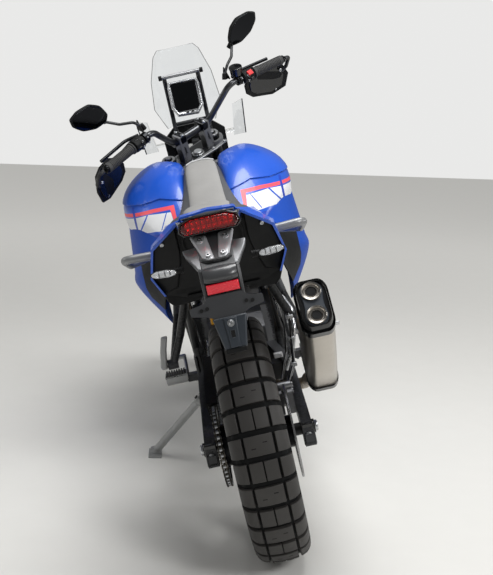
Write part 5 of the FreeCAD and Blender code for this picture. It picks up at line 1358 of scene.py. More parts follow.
@dataclass
class Tail(SubAssembly):
    """Black cover with raised facets, long lamp, sloped bracket, hood, reflector and carrier."""

    lamp_back: float = -212.0
    lamp_front: float = -284.0
    lamp_middle: float = 980.0
    lamp_outline: Outline = ((-70, 974), (-66, 988), (-42, 997), (42, 997), (66, 988), (70, 974),
                             (60, 964), (-60, 964))
    cell_rows: Outline = ((966.5, 980), (981, 994))
    cell_pitch: float = 13.0
    facet: Outline = ((86, 982, 0), (112, 962, -4), (144, 936, -9), (164, 860, -9), (146, 811, -9),
                      (113, 822, -3), (93, 882, 1), (87, 912, 1))
    hood_half: float = 41.0
    indicator_spot: Point = (-290.0, 129.0, 887.0)
    indicator_outline: Outline = ((-33, 0), (-27, 6.5), (-8, 9.5), (20, 8.5), (31, 4.5), (34, 0),
                                  (31, -4.5), (20, -8.5), (-8, -9.5), (-27, -6.5))

    def make(self) -> None:
        """Build every piece of the tail."""
        self.cover()
        self.lamp()
        self.bracket()
        self.hood()
        self.plate_tongue()
        self.indicators()

    def cover(self) -> None:
        """Raised side facets with a screw each, and the edges of the recess between them."""
        base = [(tail_edge(z) + 16, y + math.copysign(4, y - 118), z + math.copysign(4, z - 895))
                for y, z, _ in self.facet]
        top = [(tail_edge(z) - out, y, z) for y, z, out in self.facet]
        self.piece("tail_facets", loft([base, top]).paired(), BLACK_PP, bevel=2.0, segments=3)
        screws = bolts([(tail_edge(942) + 2.5, side * 124, 942) for side in SIDES], (-1, 0, -0.4),
                       5.0, 4.0)
        self.piece("tail_screws", screws, ZINC_BOLT, bevel=0.4)
        ridge = [(tail_edge(z) + 3, y, z) for y, z in ((67, 966), (74, 935), (70, 900), (62, 868))]
        self.piece("tail_recess_edges", tube(ridge, 3.0, bend=30).paired(), BLACK_PP)

    def shroud(self, x: float, grow: float, ceiling: float) -> list[tuple[float, float, float]]:
        """Return the lamp's outline grown on each side.

        Args:
            x: Where it stands.
            grow: How much it grows; less so below.
            ceiling: The height that it stays under.

        Returns:
            A ring.
        """
        return [(x, y + math.copysign(grow, y),
                 min(z + (grow if z > self.lamp_middle else -grow * 0.8), ceiling))
                for y, z in self.lamp_outline]

    def cell(self, left: float, low: float, high: float, peak: float) -> Form:
        """Return one reflector cell, a low pyramid.

        Args:
            left: Its side.
            low: Its lower edge.
            high: Its upper edge.
            peak: How far its tip is from its side.

        Returns:
            The closed form.
        """
        base, right = self.lamp_front + 3, left + self.cell_pitch - 1
        corners = ring_at(base, ((left, low), (right, low), (right, high), (left, high)))
        return Form(corners + [(self.lamp_front - 3.5, left + peak, (low + high) / 2)],
                    [(0, 1, 4), (1, 2, 4), (2, 3, 4), (3, 0, 4), (3, 2, 1, 0)], [0] * 5)

    def lamp(self) -> None:
        """Red lens over two rows of reflector cells, in a black shroud."""
        front = self.lamp_front
        rings = [self.shroud(x, grow, ceiling) for x, grow, ceiling in
                 ((self.lamp_back, 13.0, 990.0), (front + 26, 8.0, 994.0), (front, 5.0, 1001.0),
                  (front - 1.5, 3.5, 1001.0), (front - 1.0, 1.2, 1001.0), (front + 9, 0.8, 1001.0))]
        self.piece("lamp_shroud", loft(rings), BLACK_ABS, bevel=0.8)
        lens = [[(front + x, y * share, self.lamp_middle + (z - self.lamp_middle) * share)
                 for y, z in self.lamp_outline] for x, share in ((2, 1.0), (-5, 1.0), (-9, 0.93))]
        self.piece("tail_lens", loft(lens), RED_LENS, bevel=1.2, segments=3, replaces=["tail_light"])
        cells = joined(self.cell(-58 + column * self.cell_pitch, *edges, 6 + 2 * row)
                       for row, edges in enumerate(self.cell_rows) for column in range(9))
        self.piece("lamp_cells", cells, LAMP_RED, smooth=10)
        ribs = joined(box((front - 11, y - 0.7, 968), (front - 8, y + 0.7, 993)) for y in (-30, 0, 30))
        self.piece("lens_ribs", ribs, RED_LENS, bevel=0.3)

    def bracket(self) -> None:
        """Sloped carrier plate with ears, two cast arms and four bolts."""
        ears = [(0, 26), (40, 30), (45, 47), (77, 50), (72, 70), (47, 128), (0, 132)]
        outline = ears + [(-y, down) for y, down in ears[-2:0:-1]]
        self.piece("carrier_slope", slope_plate(outline, -6, 6), EAR_GREY, bevel=2.5, segments=3)
        recess = [(12, 34), (30, 40), (32, 92), (-32, 92), (-30, 40), (-12, 34)]
        self.piece("bracket_recess", slope_plate(recess, 6, 7), FRAME_COAT)
        arm = loft([[slope(y, down, out) for y, down in points] for points, out in (
            (((54, 10), (14, 15), (4, 99), (8, 107), (27, 107), (32, 99)), 2),
            (((53, 11), (15, 16), (5, 99), (8, 106), (26, 106), (31, 99)), 9),
            (((49, 15), (19, 19), (9, 97), (11, 103), (24, 103), (28, 97)), 11.5))])
        # Arms and bosses are drawn pale: a painted highlight.
        self.piece("bracket_arms", arm.paired(), BRACKET_PAINTED_HIGHLIGHT, bevel=1.5, segments=3)
        seats = [(side * y, down) for y, down in ((31, 36), (18, 93)) for side in SIDES]
        bosses = joined(rod(slope(*seat, 9), slope(*seat, 12.5), 9.0) for seat in seats)
        self.piece("bracket_bosses", bosses, BRACKET_PAINTED_HIGHLIGHT, bevel=1.2)
        heads = bolts([slope(*seat, 12.5) for seat in seats], slope(0, 0, 1) - slope(0, 0, 0), 6.5, 4.0)
        self.piece("bracket_bolts", heads, ZINC_BOLT, bevel=0.5)
        lip = [slope(y, down, 9) for y, down in ((-33, 101), (-22, 111), (22, 111), (33, 101))]
        self.piece("bracket_lip", tube(lip, 5.5, bend=16), FRAME_COAT)

    def hood(self) -> None:
        """The carrier's body: a bulged hood over the reflector, ribs below and flat flanks."""
        half = self.hood_half
        side = ((-205, 955), (-240, 950), (-342, 886), (-353, 852), (-352, 822), (-346, 797),
                (-322, 806), (-280, 850), (-215, 900))
        self.piece("carrier_body", prism(side, -half, half), BRACKET_COAT, bevel=3.0, segments=3,
                   replaces=["plate_carrier"])
        flank = [(-262, 915), (-344, 884), (-356, 852), (-355, 822), (-347, 800), (-322, 812),
                 (-270, 868)]
        flanks = loft([[(x, half - 1, z) for x, z in flank],
                       [(x + 3, half + 8 - 0.02 * (884 - z), z - 1) for x, z in flank]])
        self.piece("carrier_flanks", flanks.paired(), BRACKET_COAT, bevel=2.5, segments=3)
        arc = smooth_run([(-332, 886, 0), (-344, 889, 0), (-358, 885, 0), (-368, 875, 0),
                          (-371, 864, 0), (-365, 854.5, 0)], 5)
        profile = [(spot.x, spot.y) for spot in arc] + [(-345, 854.5), (-330, 860)]
        steps, rings = 8, []
        for step in range(-steps, steps + 1):
            share = 1 - 0.34 * abs(step / steps) ** 3
            rings.append([(-343 + (x + 343) * share, step * (half - 1) / steps,
                           872 + (z - 872) * (0.5 + 0.5 * share)) for x, z in profile])
        self.piece("hood", loft(rings), HOOD_SATIN, smooth=50)
        plate = [oblong(x, 38, 828, 851, inset) for x, inset in ((-354, 0), (-359.5, 0), (-361, 1.2))]
        # The reflector glows: painted light, though it is no lamp.
        self.piece("reflector", loft(plate), REFLECTOR_RED_PAINTED_GLOW, bevel=0.8)
        seat = loft([oblong(x, 40.5, 825.5, 853.5) for x in (-352, -356.5)])
        self.piece("reflector_seat", seat, BLACK_PP, bevel=1.0)
        rib = ((-346, 824), (-356, 822), (-351, 797), (-343, 797))
        ribs = joined(prism(rib, y - 1.8, y + 1.8) for y in (-37, -5.5, 6.5, 37))
        self.piece("carrier_ribs", ribs, BRACKET_COAT, bevel=0.8)

    def plate_tongue(self) -> None:
        """The tongue below the plate's wing: raised slate cover, bolt, slot and black lip."""
        axes = self.axes.moved(-375, 0, 796).turned(14, "y")
        for name, top, foot, head, bottom, stations, bevel in (
                ("tongue_cover", 40, 26, -22, -97, ((0, 0), (-4, 0), (-7, 3)), 1.2),
                ("tongue_ridge", 17, 13, -24, -96, ((-5, 0), (-11, 2.5)), 1.0)):
            rings = [ring_at(x, ((top - inset, head - inset), (foot - inset, bottom + inset),
                                 (inset - foot, bottom + inset), (inset - top, head - inset)))
                     for x, inset in stations]
            self.piece(name, loft(rings), NYLON_SLATE, axes=axes, bevel=bevel)
        heads = rod((-10, 0, -38), (-12, 0, -38), 8.5).add(bolt((-12, 0, -38), (-1, 0, 0), 6.0, 4.0))
        self.piece("tongue_bolt", heads, ZINC_BOLT, axes=axes, bevel=0.4)
        self.piece("tongue_slot", box((-11.6, -4.5, -71), (-10.5, 4.5, -55)), SLOT_DARK, axes=axes)
        rim = joined(box((-12.6, y0, z0), (-10.5, y1, z1)) for y0, z0, y1, z1 in (
            (-6.5, -73, -4.5, -53), (4.5, -73, 6.5, -53), (-6.5, -73, 6.5, -71), (-6.5, -55, 6.5, -53)))
        self.piece("tongue_slot_rim", rim, NYLON_SLATE, axes=axes, bevel=0.5)
        self.piece("tongue_lip", prism(((-9, -96), (4, -96), (12, -106), (-6, -107)), -24, 24),
                   BLACK_PP, axes=axes, bevel=1.5)
        holes = joined(rod((-5.0, y, z), (-4.0, y, z), 4.6) for y, z in ((60, 3), (46, 5))).paired()
        self.piece("wing_holes", holes, SLOT_DARK, axes=axes)

    def indicator(self, spot: Vector, heading: int, root: float) -> list[Form]:
        """Return a pair of lamps.

        Args:
            spot: The middle of the left one's face.
            heading: 1 for lamps that shine ahead, -1 for those behind.
            root: How far out the stalk starts.

        Returns:
            Housings, lenses, reflectors and stalks.
        """
        def ring(depth: float, share: float) -> list[Vector]:
            """Return the lamp's outline at a depth before its face."""
            return [spot + Vector((heading * depth, y * share, z * share + y * 0.05))
                    for y, z in self.indicator_outline]

        x = spot.x - heading * 6
        stalk = joined([rod((x, spot.y - 25, spot.z), (x, root, spot.z - 1), (6.5, 8.5))]
                       + [rod((x, spot.y - y, spot.z - 0.5), (x, spot.y - y - 3, spot.z - 0.5), 9.0)
                          for y in (34, 39, 44)])
        return [stalk.paired() if rings is None else loft([ring(*one) for one in rings]).paired()
                for rings in (((-16, 0.55), (-10, 0.88), (-2, 1.0), (0, 0.99)),
                              ((0.2, 0.94), (4, 0.90), (6.5, 0.74)),
                              ((-0.6, 0.93), (0.8, 0.86), (2.0, 0.3)), None)]

    def indicators(self) -> None:
        """Four narrow clear lamps on short stalks: lens, silver inside, black back."""
        pairs = (self.indicator(Vector(self.indicator_spot), -1, 82),
                 self.indicator(Vector((GEOMETRY.head_x + 192, 184, 949)), 1, 118))
        housings, lenses, reflectors, stalks = (joined(forms) for forms in zip(*pairs))
        self.piece("indicator_housings", housings, BLACK_PP, bevel=0.8, replaces=["indicators"])
        self.piece("indicator_lenses", lenses, CLEAR_LENS, bevel=0.8)
        self.piece("indicator_reflectors", reflectors, CHROME, bevel=0.3)
        bars = joined(box((-5.4, y - 1.6, -5), (-2, y + 1.6, 5)) for y in (-14, -2, 12))
        self.piece("indicator_bars", bars.moved(*self.indicator_spot).paired(), BLACK_ABS)
        self.piece("indicator_stalks", stalks, BLACK_PP, bevel=0.6)


# Silencer

@dataclass
class Silencer(SubAssembly):
    """A flat-sided can along x from its front end, with a black cap and two bright outlets.

    Columns of stations are distance along the can and share of its size.
    """

    length: float = 400.5
    half_wide: float = 43.0
    half_tall: float = 73.0
    corner: float = 24.0
    waist: float = 25.0
    lobe: float = 29.0
    outlet_gap: float = 33.0
    cap_start: float = 366.0
    outlet: Outline = ((-30, 11.5), (-4, 12.0), (-1, 13.2), (-3.5, 15.0), (-3.0, 18.5), (2.5, 21.0),
                       (3.5, 24.0), (2.0, 25.2), (-8, 25.2), (-30, 25.2))

    def outline(self, x: float, share: float) -> list[tuple[float, float, float]]:
        """Return the can's rounded outline.

        Args:
            x: Distance along the can.
            share: Share of its size.

        Returns:
            A ring.
        """
        wide, tall, cut = (size * share for size in (self.half_wide, self.half_tall, self.corner))
        points = []
        for side_y, side_z in ((1, 1), (-1, 1), (-1, -1), (1, -1)):
            arc = [(wide - cut + cut * math.cos(turn), tall - 1.5 * cut + 1.5 * cut * math.sin(turn))
                   for turn in (math.pi / 2 * step / 6 for step in range(7))]
            points += [(x, side_y * y, side_z * z) for y, z in arc[::side_y * side_z]]
        return points

    def shell(self, *stations: tuple[float, float]) -> Form:
        """Return a form through the can's outlines at several stations."""
        return loft([self.outline(x, share) for x, share in stations])

    def eight(self, x: float, grow: float) -> list[tuple[float, float, float]]:
        """Return the waisted outline of the end plate.

        Args:
            x: Distance along the can.
            grow: How much wider it is on each side.

        Returns:
            A ring.
        """
        radius, waist = self.lobe + grow, self.waist + grow
        top = [(x, radius * math.cos(turn), self.outlet_gap + radius * math.sin(turn))
               for turn in (math.pi * step / 24 for step in range(25))]
        bottom = [(x, -y, -z) for x, y, z in top]
        return [(x, waist, 8), *top, (x, -waist, 8), (x, -waist, -8), *bottom, (x, waist, -8)]

    def make(self) -> None:
        """Build body, cap, plate, outlets, bands and tab."""
        end, start = self.length, self.cap_start
        body = self.shell((-6, 0.72), (0, 0.93), (8, 0.97), (180, 0.98), (start + 4, 0.97))
        self.piece("silencer_body", body, STAINLESS, smooth=28, replaces=["silencer"])
        cap = self.shell((start, 0.99), (start + 2, 1.02), (start + 16, 1.02), (end - 22, 0.95),
                         (end - 5, 0.89), (end, 0.86), (end - 2, 0.82), (end - 9, 0.80))
        self.piece("silencer_cap", cap, BLACK_ABS, smooth=30)
        plate = loft([self.eight(end + x, grow) for x, grow in ((-14, 0), (-5, 0), (-3.5, -1.5))])
        self.piece("silencer_end_plate", plate, NYLON_SLATE, smooth=30)
        ring = lathe([(end + x, radius) for x, radius in self.outlet], 64)
        ring = ring.mapped(lambda p: (p.y, p.x, p.z))
        gaps = [side * self.outlet_gap for side in SIDES]
        self.piece("silencer_outlets", joined(ring.moved(0, 0, z) for z in gaps), OUTLET_STEEL, smooth=30)
        dark = joined(rod((end - 4, 0, z), (end - 2.9, 0, z), 12.6) for z in gaps)
        self.piece("silencer_bores", dark, SLOT_DARK)
        bands = joined(self.shell((x - half, 0.985), (x - half, 1.01), (x + half, 1.01),
                                  (x + half, 0.985)) for x, half in ((start - 3, 4), (14, 9)))
        self.piece("silencer_bands", bands, BLACK_ABS, bevel=0.6)
        tab = box((236, -47, -10), (262, -38, 12)).add(box((240, -62, -5), (258, -45, -1)))
        self.piece("silencer_tab", tab, ZINC_BOLT, bevel=1.5)
        rivets = bolts([(start - 22, self.half_wide * 0.975, z) for z in (-24, 0, 24)], (0, 1, 0), 3.2, 1.8)
        self.piece("silencer_rivets", rivets.paired(), ZINC_BOLT, bevel=0.3)


# Controls on the bar

@dataclass
class Controls(SubAssembly):
    """Ribbed grips, switch boxes with keys, mirrors, hand guards, bar clamps and the yoke's nuts.

    Profiles along the bar are pairs of distance from its end and radius.
    """

    inner: Point = (-24.0, 182.0, 1347.0)
    outer: Point = (-60.0, 419.0, 1341.0)
    grip_radius: float = 17.2
    rib_radius: float = 15.6
    rib_pitch: int = 6
    ribbed: tuple[int, int] = (24, 126)
    mirror_spot: Point = (62.0, 350.0, 1467.0)
    mirror_corners: Outline = ((76, 30), (44, 44), (-10, 46), (-50, 20), (-70, -24), (-58, -47),
                               (-12, -52), (40, -34), (72, -2))
    corner_shares: Outline = ((0.28, 0.034), (0.1, 0.07), (0.07, 0.1), (0.034, 0.28))
    guard_middle: tuple[float, float] = (374.0, 1252.0)
    guard_corners: Outline = ((438, 1306), (400, 1317), (350, 1318), (314, 1296), (292, 1262),
                              (294, 1230), (318, 1205), (394, 1186), (440, 1206), (454, 1258))

    def along(self, distance: float) -> Vector:
        """Return the place on the bar at a distance in from its end."""
        start, end = Vector(self.outer), Vector(self.inner)
        return start + (end - start).normalized() * distance

    def turned_pair(self, profile: Outline, count: int = 40) -> Form:
        """Turn a profile about the bar.

        Args:
            profile: Distances from the bar's end and radii.
            count: How many sides the section has.

        Returns:
            The form and its mirror image.
        """
        heading = (Vector(self.inner) - Vector(self.outer)).normalized()
        across = heading.orthogonal().normalized()
        up = heading.cross(across)
        return loft([[self.along(distance) + across * x + up * z for x, z in circle(radius, count)]
                     for distance, radius in profile]).paired()

    def make(self) -> None:
        """Build the controls of both sides."""
        self.grips()
        self.switches()
        self.mirrors()
        self.clamps()
        self.guards()

    def shield(self, depth: float, share: float) -> list[tuple[float, float, float]]:
        """Return a hand guard's outline, bent back at its outer end.

        Args:
            depth: How far ahead it lies.
            share: Its size about its own middle.

        Returns:
            A ring.
        """
        places = []
        for corner in self.guard_corners:
            y, z = (middle + (value - middle) * share
                    for middle, value in zip(self.guard_middle, corner))
            places.append((34 - 62 * max(0.0, (y - 292) / 162) ** 2 + depth, y, z))
        return places

    def guards(self) -> None:
        """Curved hand shields in front of the grips, with a raised panel and an end strap."""
        shell = loft([self.shield(*one) for one in ((-6, 0.93), (-7, 1.0), (2, 1.01), (10, 0.9))])
        self.piece("guard_shields", shell.paired(), BLACK_PP, bevel=3.0, segments=3, smooth=50,
                   replaces=["hand_guards"])
        panel = loft([self.shield(-7, 0.80), self.shield(-10, 0.78)])
        self.piece("guard_panels", panel.paired(), BLACK_ABS, bevel=1.5)
        strap = tube([(-60, 424, 1341), (-58, 446, 1334), (-34, 448, 1290), (-12, 436, 1262)], 7.0,
                     bend=18)
        inner = tube([(0, 262, 1340), (22, 290, 1310), (30, 306, 1280)], 6.0, bend=20)
        self.piece("guard_straps", strap.add(inner).paired(), FRAME_COAT, bevel=1.0)
        heads = bolt((-24, 424, 1282), (-1, 0, 0)).add(bolt((-4, 404, 1206), (-1, 0, 0), 5.0, 4.0))
        self.piece("guard_bolts", heads.paired(), ZINC_BOLT, bevel=0.5)

    def grips(self) -> None:
        """Rubber grips with rings of ribs, inner flange and bar-end weight."""
        high, low = self.grip_radius, self.rib_radius
        profile = [(10.0, 15.0), (12.0, 17.0), (22.0, high)]
        for start in range(*self.ribbed, self.rib_pitch):
            profile += [(start, high), (start + 0.8, low), (start + 2.6, low), (start + 3.4, high)]
        profile += [(130, high), (131, 21.0), (135, 21.5), (136, 18.0), (137, 12.0)]
        self.piece("grips_ribbed", self.turned_pair(profile), GRIP_RUBBER, smooth=30,
                   replaces=["grips"])
        weight = [(-1.0, 8.0), (0.0, 12.0), (2.0, 13.5), (9.0, 14.5), (10.5, 14.5)]
        self.piece("bar_end_weights", self.turned_pair(weight), ANODISED_BLACK, smooth=30)

    def switches(self) -> None:
        """Two-part switch boxes with keys, a red cut-off key, clamp screws and the brake's cup."""
        shell = [(140, 14), (141, 20), (143, 23.5), (160, 24.5), (162, 23.2), (164, 24.5), (182, 23.5),
                 (186, 19), (187, 13)]
        self.piece("switch_shells", self.turned_pair(shell, 10), BLACK_PP, bevel=1.5, segments=3,
                   smooth=25, replaces=["switchgear"])
        clamp = [(189, 13), (190, 18), (192, 20), (209, 20), (211, 18), (212, 13)]
        self.piece("perch_clamps", self.turned_pair(clamp, 12), ANODISED_BLACK, bevel=1.0, smooth=25)
        middle = self.along(163)
        keys = joined(box((x - 3, y - size, z - 3.5), (x + 3, y + size, z + 3.5)).moved(*middle)
                      for x, z, y, size in ((-22, 8, -8, 5), (-23, -4, 4, 6), (-20, -14, -6, 5),
                                            (-10, 20, 6, 5)))
        self.piece("switch_keys", keys.paired(), BLACK_ABS, bevel=1.2)
        key = box((-9, -11, -3), (9, 11, 4)).turned(-42, "y")
        self.piece("cut_off_key", key.moved(middle.x - 17, -middle.y - 2, middle.z + 17), RED_BUTTON,
                   bevel=1.8, segments=3)
        silver = joined(bolt(self.along(place) + Vector(shift), heading, 3.5, 3.0)
                        for place in (174, 200) for shift, heading in (((-22, 0, -8), (-1, 0, 0)),
                                                                       ((-20, 0, 12), (-1, 0, 0.3))))
        self.piece("switch_screws", silver.paired(), ZINC_BOLT, bevel=0.4)
        perch = self.along(200)
        cup = lathe([(-15, 0.5), (-15, 17), (-12, 21), (10, 22), (11, 24), (17, 24), (18, 22), (18, 0.5)],
                    40, closed=False).turned(90, "x").moved(perch.x + 6, -perch.y, perch.z + 33)
        self.piece("brake_reservoir", cup, BLACK_ABS, bevel=0.8)
        stem = rod((perch.x + 6, -perch.y, perch.z + 19), (perch.x, -perch.y, perch.z + 8), 8)
        self.piece("reservoir_stem", stem, ANODISED_BLACK)

    def mirror_ring(self, depth: float, wide: float, tall: float) -> list[Vector]:
        """Return the mirror's outline with soft corners.

        Args:
            depth: How far ahead of its place it lies.
            wide: Share of its width.
            tall: Share of its height.

        Returns:
            A ring.
        """
        corners, ring = self.mirror_corners, []
        for spots in zip(corners[-1:] + corners[:-1], corners, corners[1:] + corners[:1]):
            for back, ahead in self.corner_shares:
                y, z = (before * back + here * (1 - back - ahead) + after * ahead
                        for before, here, after in zip(*spots))
                ring.append(Vector(self.mirror_spot) + Vector((depth, y * wide, z * tall)))
        return ring

    def mirrors(self) -> None:
        """Wedge-shaped mirrors on thin stems, with rubber roots."""
        spot = Vector(self.mirror_spot)
        shell = loft([self.mirror_ring(depth, share, share) for depth, share in
                      ((-2, 0.985), (-1, 1.0), (6, 1.0), (18, 0.84), (26, 0.5))])
        self.piece("mirror_shells", shell.paired(), BLACK_PP, bevel=3.0, segments=4, smooth=50,
                   replaces=["mirrors"])
        glass = loft([self.mirror_ring(depth, 0.93, 0.92) for depth in (-1.2, -3.0)])
        # The mirror glass is dark: a painted dark reflection.
        self.piece("mirror_glasses", glass.paired(), MIRROR_PAINTED_DARK, bevel=0.6)
        stem = tube([spot + Vector((14, -46, -44)), (38, 262, 1400), (18, 220, 1392), (12, 196, 1366)],
                    5.0, bend=22)
        self.piece("mirror_stems", stem.paired(), FRAME_COAT, smooth=50)
        boots = rod(spot + Vector((14, -36, -34)), spot + Vector((20, -62, -58)), (11, 7.5))
        boots.add(rod((12, 196, 1372), (8, 190, 1352), (8, 10)))
        self.piece("mirror_boots", boots.paired(), BLACK_PP, bevel=1.0)
        web = prism(((-6, 1350), (30, 1352), (20, 1392)), 200, 206)
        self.piece("mirror_webs", web.paired(), BLACK_PP, bevel=1.5)

    def clamps(self) -> None:
        """Bar clamps with four bolts, stem nut, fork caps and a silver steering strip."""
        blocks = box((-8, 38, 1219), (40, 66, 1250)).paired()
        self.piece("bar_clamps", blocks, ANODISED_BLACK, bevel=4.0, segments=3)
        heads = bolts([(x, 52, 1250) for x in (-2, 34)], (0, 0, 1), 5.5, 6.0)
        self.piece("clamp_bolts", heads.paired(), ZINC_BOLT, bevel=0.5)
        nut = rod((0, 0, 1143), (0, 0, 1152), 24, 6).add(rod((0, 0, 1152), (0, 0, 1158), 15))
        self.piece("stem_nut", nut, ZINC_BOLT, bevel=1.5)
        x, y = GEOMETRY.fork_offset, GEOMETRY.fork_spacing
        caps = rod((x, y, 1157), (x, y, 1165), 24).add(rod((x, y, 1165), (x, y, 1173), 11, 6))
        self.piece("fork_caps", caps.paired(), CAST_SILVER, bevel=1.2)
        strip = prism(((-30, -118), (-38, -60), (-38, 60), (-30, 118), (-18, 118), (-24, 60), (-24, -60),
                       (-18, -118)), 1144, 1150, "z")
        self.piece("yoke_strip", strip, CAST_SILVER, bevel=1.5)
        screws = bolts([(-29, y, 1150) for y in (-104, -50, 50, 104)], (0, 0, 1), 5.5)
        self.piece("yoke_screws", screws, ZINC_BOLT, bevel=0.5)


# Nose and cockpit

@dataclass
class Nose(SubAssembly):
    """Instrument with its silver rim, crossbar, screen uprights and the headlamp's insides."""

    bar_spot: Point = (1216.0, 70.0, 1308.0)
    bezel: Outline = ((-52, 60), (52, 60), (58, 40), (58, -34), (40, -66), (-34, -70), (-58, -40),
                      (-58, 40))
    face: Outline = ((-43, 52), (43, 52), (45, 44), (45, -42), (36, -52), (-36, -52), (-45, -42),
                     (-45, 44))

    def make(self) -> None:
        """Build instrument, bar and lamp."""
        self.instrument()
        self.crossbar()
        self.lamp()

    def bezel_ring(self, x: float, inset: float) -> list[tuple[float, float, float]]:
        """Return the bezel's outline, drawn in by an inset."""
        return [(x, y * (1 - inset / 60), z * (1 - inset / 66)) for y, z in self.bezel]

    def instrument(self) -> None:
        """A tall black display in a rounded silver bezel with a soft visor."""
        axes = self.axes.moved(1178, 0, 1228).turned(15, "y")
        shell = loft([self.bezel_ring(*one) for one in ((18, 8), (6, 0), (-6, 0), (-11, 4), (-10, 8),
                                                        (-5, 9))])
        self.piece("instrument_shell", shell, BEZEL_SILVER, axes=axes, bevel=1.5, segments=3,
                   replaces=["dash"])
        self.piece("instrument_glass", loft([ring_at(x, self.face) for x in (-5, -8.5)]),
                   DISPLAY_GLASS, axes=axes, bevel=2.0, segments=3)
        back = loft([self.bezel_ring(40, 22), self.bezel_ring(17, 9)])
        self.piece("instrument_back", back, BLACK_PP, axes=axes, bevel=2.0)
        keys = joined(box((-12, y - 5, -62), (-7, y + 5, -57)) for y in (-14, 4))
        self.piece("instrument_keys", keys, BLACK_PP, axes=axes, bevel=1.0)

    def crossbar(self) -> None:
        """The bright bar above the instrument, with its end clamps and the screen's uprights."""
        x, half, z = self.bar_spot
        self.piece("crossbar", rod((x - 1, -half, z), (x - 1, half, z), 6.6), CAST_SILVER, bevel=1.0)
        ends = rod((x - 1, half, z), (x - 1, half + 12, z), 9.0)
        self.piece("crossbar_ends", ends.paired(), BLACK_PP, bevel=1.5)
        upright = tube([(1348, 62, 985), (1318, 64, 1130), (1232, 62, 1290), (x, 62, z + 2)], 8.0,
                       bend=40)
        stay = ((56, 1110), (72, 1110), (68, 1190), (58, 1190))
        upright.add(loft([ring_at(place, stay) for place in (1294, 1302)]))
        head = prism(((1225, 1008), (1360, 985), (1360, 1062), (1235, 1062)), -14, 14)
        whole = upright.paired().add(head).add(rod((1318, -66, 1130), (1318, 66, 1130), 7))
        self.piece("screen_uprights", whole, FRAME_COAT, bevel=1.0, replaces=["screen_bracket"])

    def lamp(self) -> None:
        """Two round projector lenses and a bright bowl behind the clear headlamp."""
        x = GEOMETRY.head_x + 280
        bowl = lathe([(0, 21), (3, 21), (3, 17), (-12, 10), (-14, 4), (-16, 21)], 40).turned(-90, "z")
        eye = lathe([(-10, 0.5), (-9, 9), (-3, 13), (0, 12), (3, 8), (4.5, 0.5)], 40,
                    closed=False).turned(-90, "z")
        heights = (976, 1016)
        self.piece("headlamp_bowls", joined(bowl.moved(x + 9, 0, z) for z in heights), CHROME, smooth=40)
        self.piece("headlamp_eyes", joined(eye.moved(x + 8, 0, z) for z in heights), DISPLAY_GLASS,
                   smooth=50)


@dataclass
class Cockpit(SubAssembly):
    """What lies between the tank lobes ahead of the seat: black console and its pale strip."""

    def make(self) -> None:
        """Build console, strip and its screws."""
        body = loft([oblong(x, 84, low, high) for x, low, high in
                     ((900, 930, 968), (960, 930, 988), (1010, 930, 994), (1030, 940, 980))])
        self.piece("console", body, BLACK_PP, bevel=4.0, segments=3)
        strip = loft([oblong(x, 92, low, high) for x, low, high in
                      ((968, 988, 998), (986, 989, 1001), (990, 989, 1000))])
        self.piece("console_strip", strip, CAST_SILVER, bevel=2.0, segments=3)
        heads = bolts([(978, y, 1000) for y in (-78, -26, 26, 78)], (0, 0, 1))
        self.piece("console_screws", heads, ZINC_BOLT, bevel=0.5)


# Lower panels

@dataclass
class SidePanels(SubAssembly):
    """Blue outer blades of the side fairings over black inner panels.

    Columns of rows are x, top (y, z), middle (y, z), low (y, z). The blade's inner edge is a
    chain of (z, y) upward; the inner panel's top falls outward by the slant.
    """

    rows: Outline = (
        (640, 155, 794, 193, 735, 192, 660), (760, 229, 843, 267, 665, 216, 560),
        (880, 270, 866, 293, 640, 205, 488), (1000, 278, 883, 296, 650, 216, 505),
        (1120, 260, 898, 273, 690, 222, 590), (1235, 223, 902, 233, 760, 210, 690))
    blade: Outline = ((480, 176), (565, 206), (624, 251), (660, 260), (735, 258), (900, 258))
    blade_back: float = 990.0
    inner_top: float = 818.0
    slant: float = 0.25
    thickness: float = 5.0

    def slot(self, p: Vector) -> int:
        """Return 1 where a place belongs to the black inner panel, and 0 on the blade."""
        inner = (p.y < crossed(self.blade, p.z) and p.x < self.blade_back
                 and p.z + self.slant * p.y < self.inner_top)
        return 1 if inner else 0

    def cuts(self) -> list[Cut]:
        """Return the cuts between blade and inner panel."""
        made: list[Cut] = [((0, y0, z0), (0, z0 - z1, y1 - y0),
                            lambda p, z0=z0, z1=z1: z0 - 12 < p.z < z1 + 12)
                           for (z0, y0), (z1, y1) in zip(self.blade, self.blade[1:])][::-1]
        made.append(((self.blade_back, 0, 0), (1, 0, 0), lambda p: True))
        made.append(((0, 0, self.inner_top), (0, self.slant, 1), lambda p: p.x < self.blade_back))
        return made

    def make(self) -> None:
        """Build both panels as sheets."""
        lines = []
        for x, top_y, top_z, mid_y, mid_z, low_y, low_z in self.rows:
            half = smooth_run([(top_y, top_z + 14, 0), (mid_y, mid_z + 60, 0), (mid_y, mid_z, 0),
                               (low_y, low_z, 0)], 8)
            lines.append([(x, spot.x, spot.y) for spot in half])
        rows = [smooth_run(line, 8) for line in zip(*lines)]
        sheet = sliced(loft(list(zip(*rows)), closed=False), self.cuts())
        sheet.slots = [self.slot(sheet.middle(face)) for face in sheet.faces]
        made = self.piece("side_blades", sheet.paired(), [BLADE_BLUE, BLACK_PP], smooth=40,
                          replaces=["side_fairings"])
        soften(made, self.thickness, 1.2)


# Below the tail and round the rear wheel

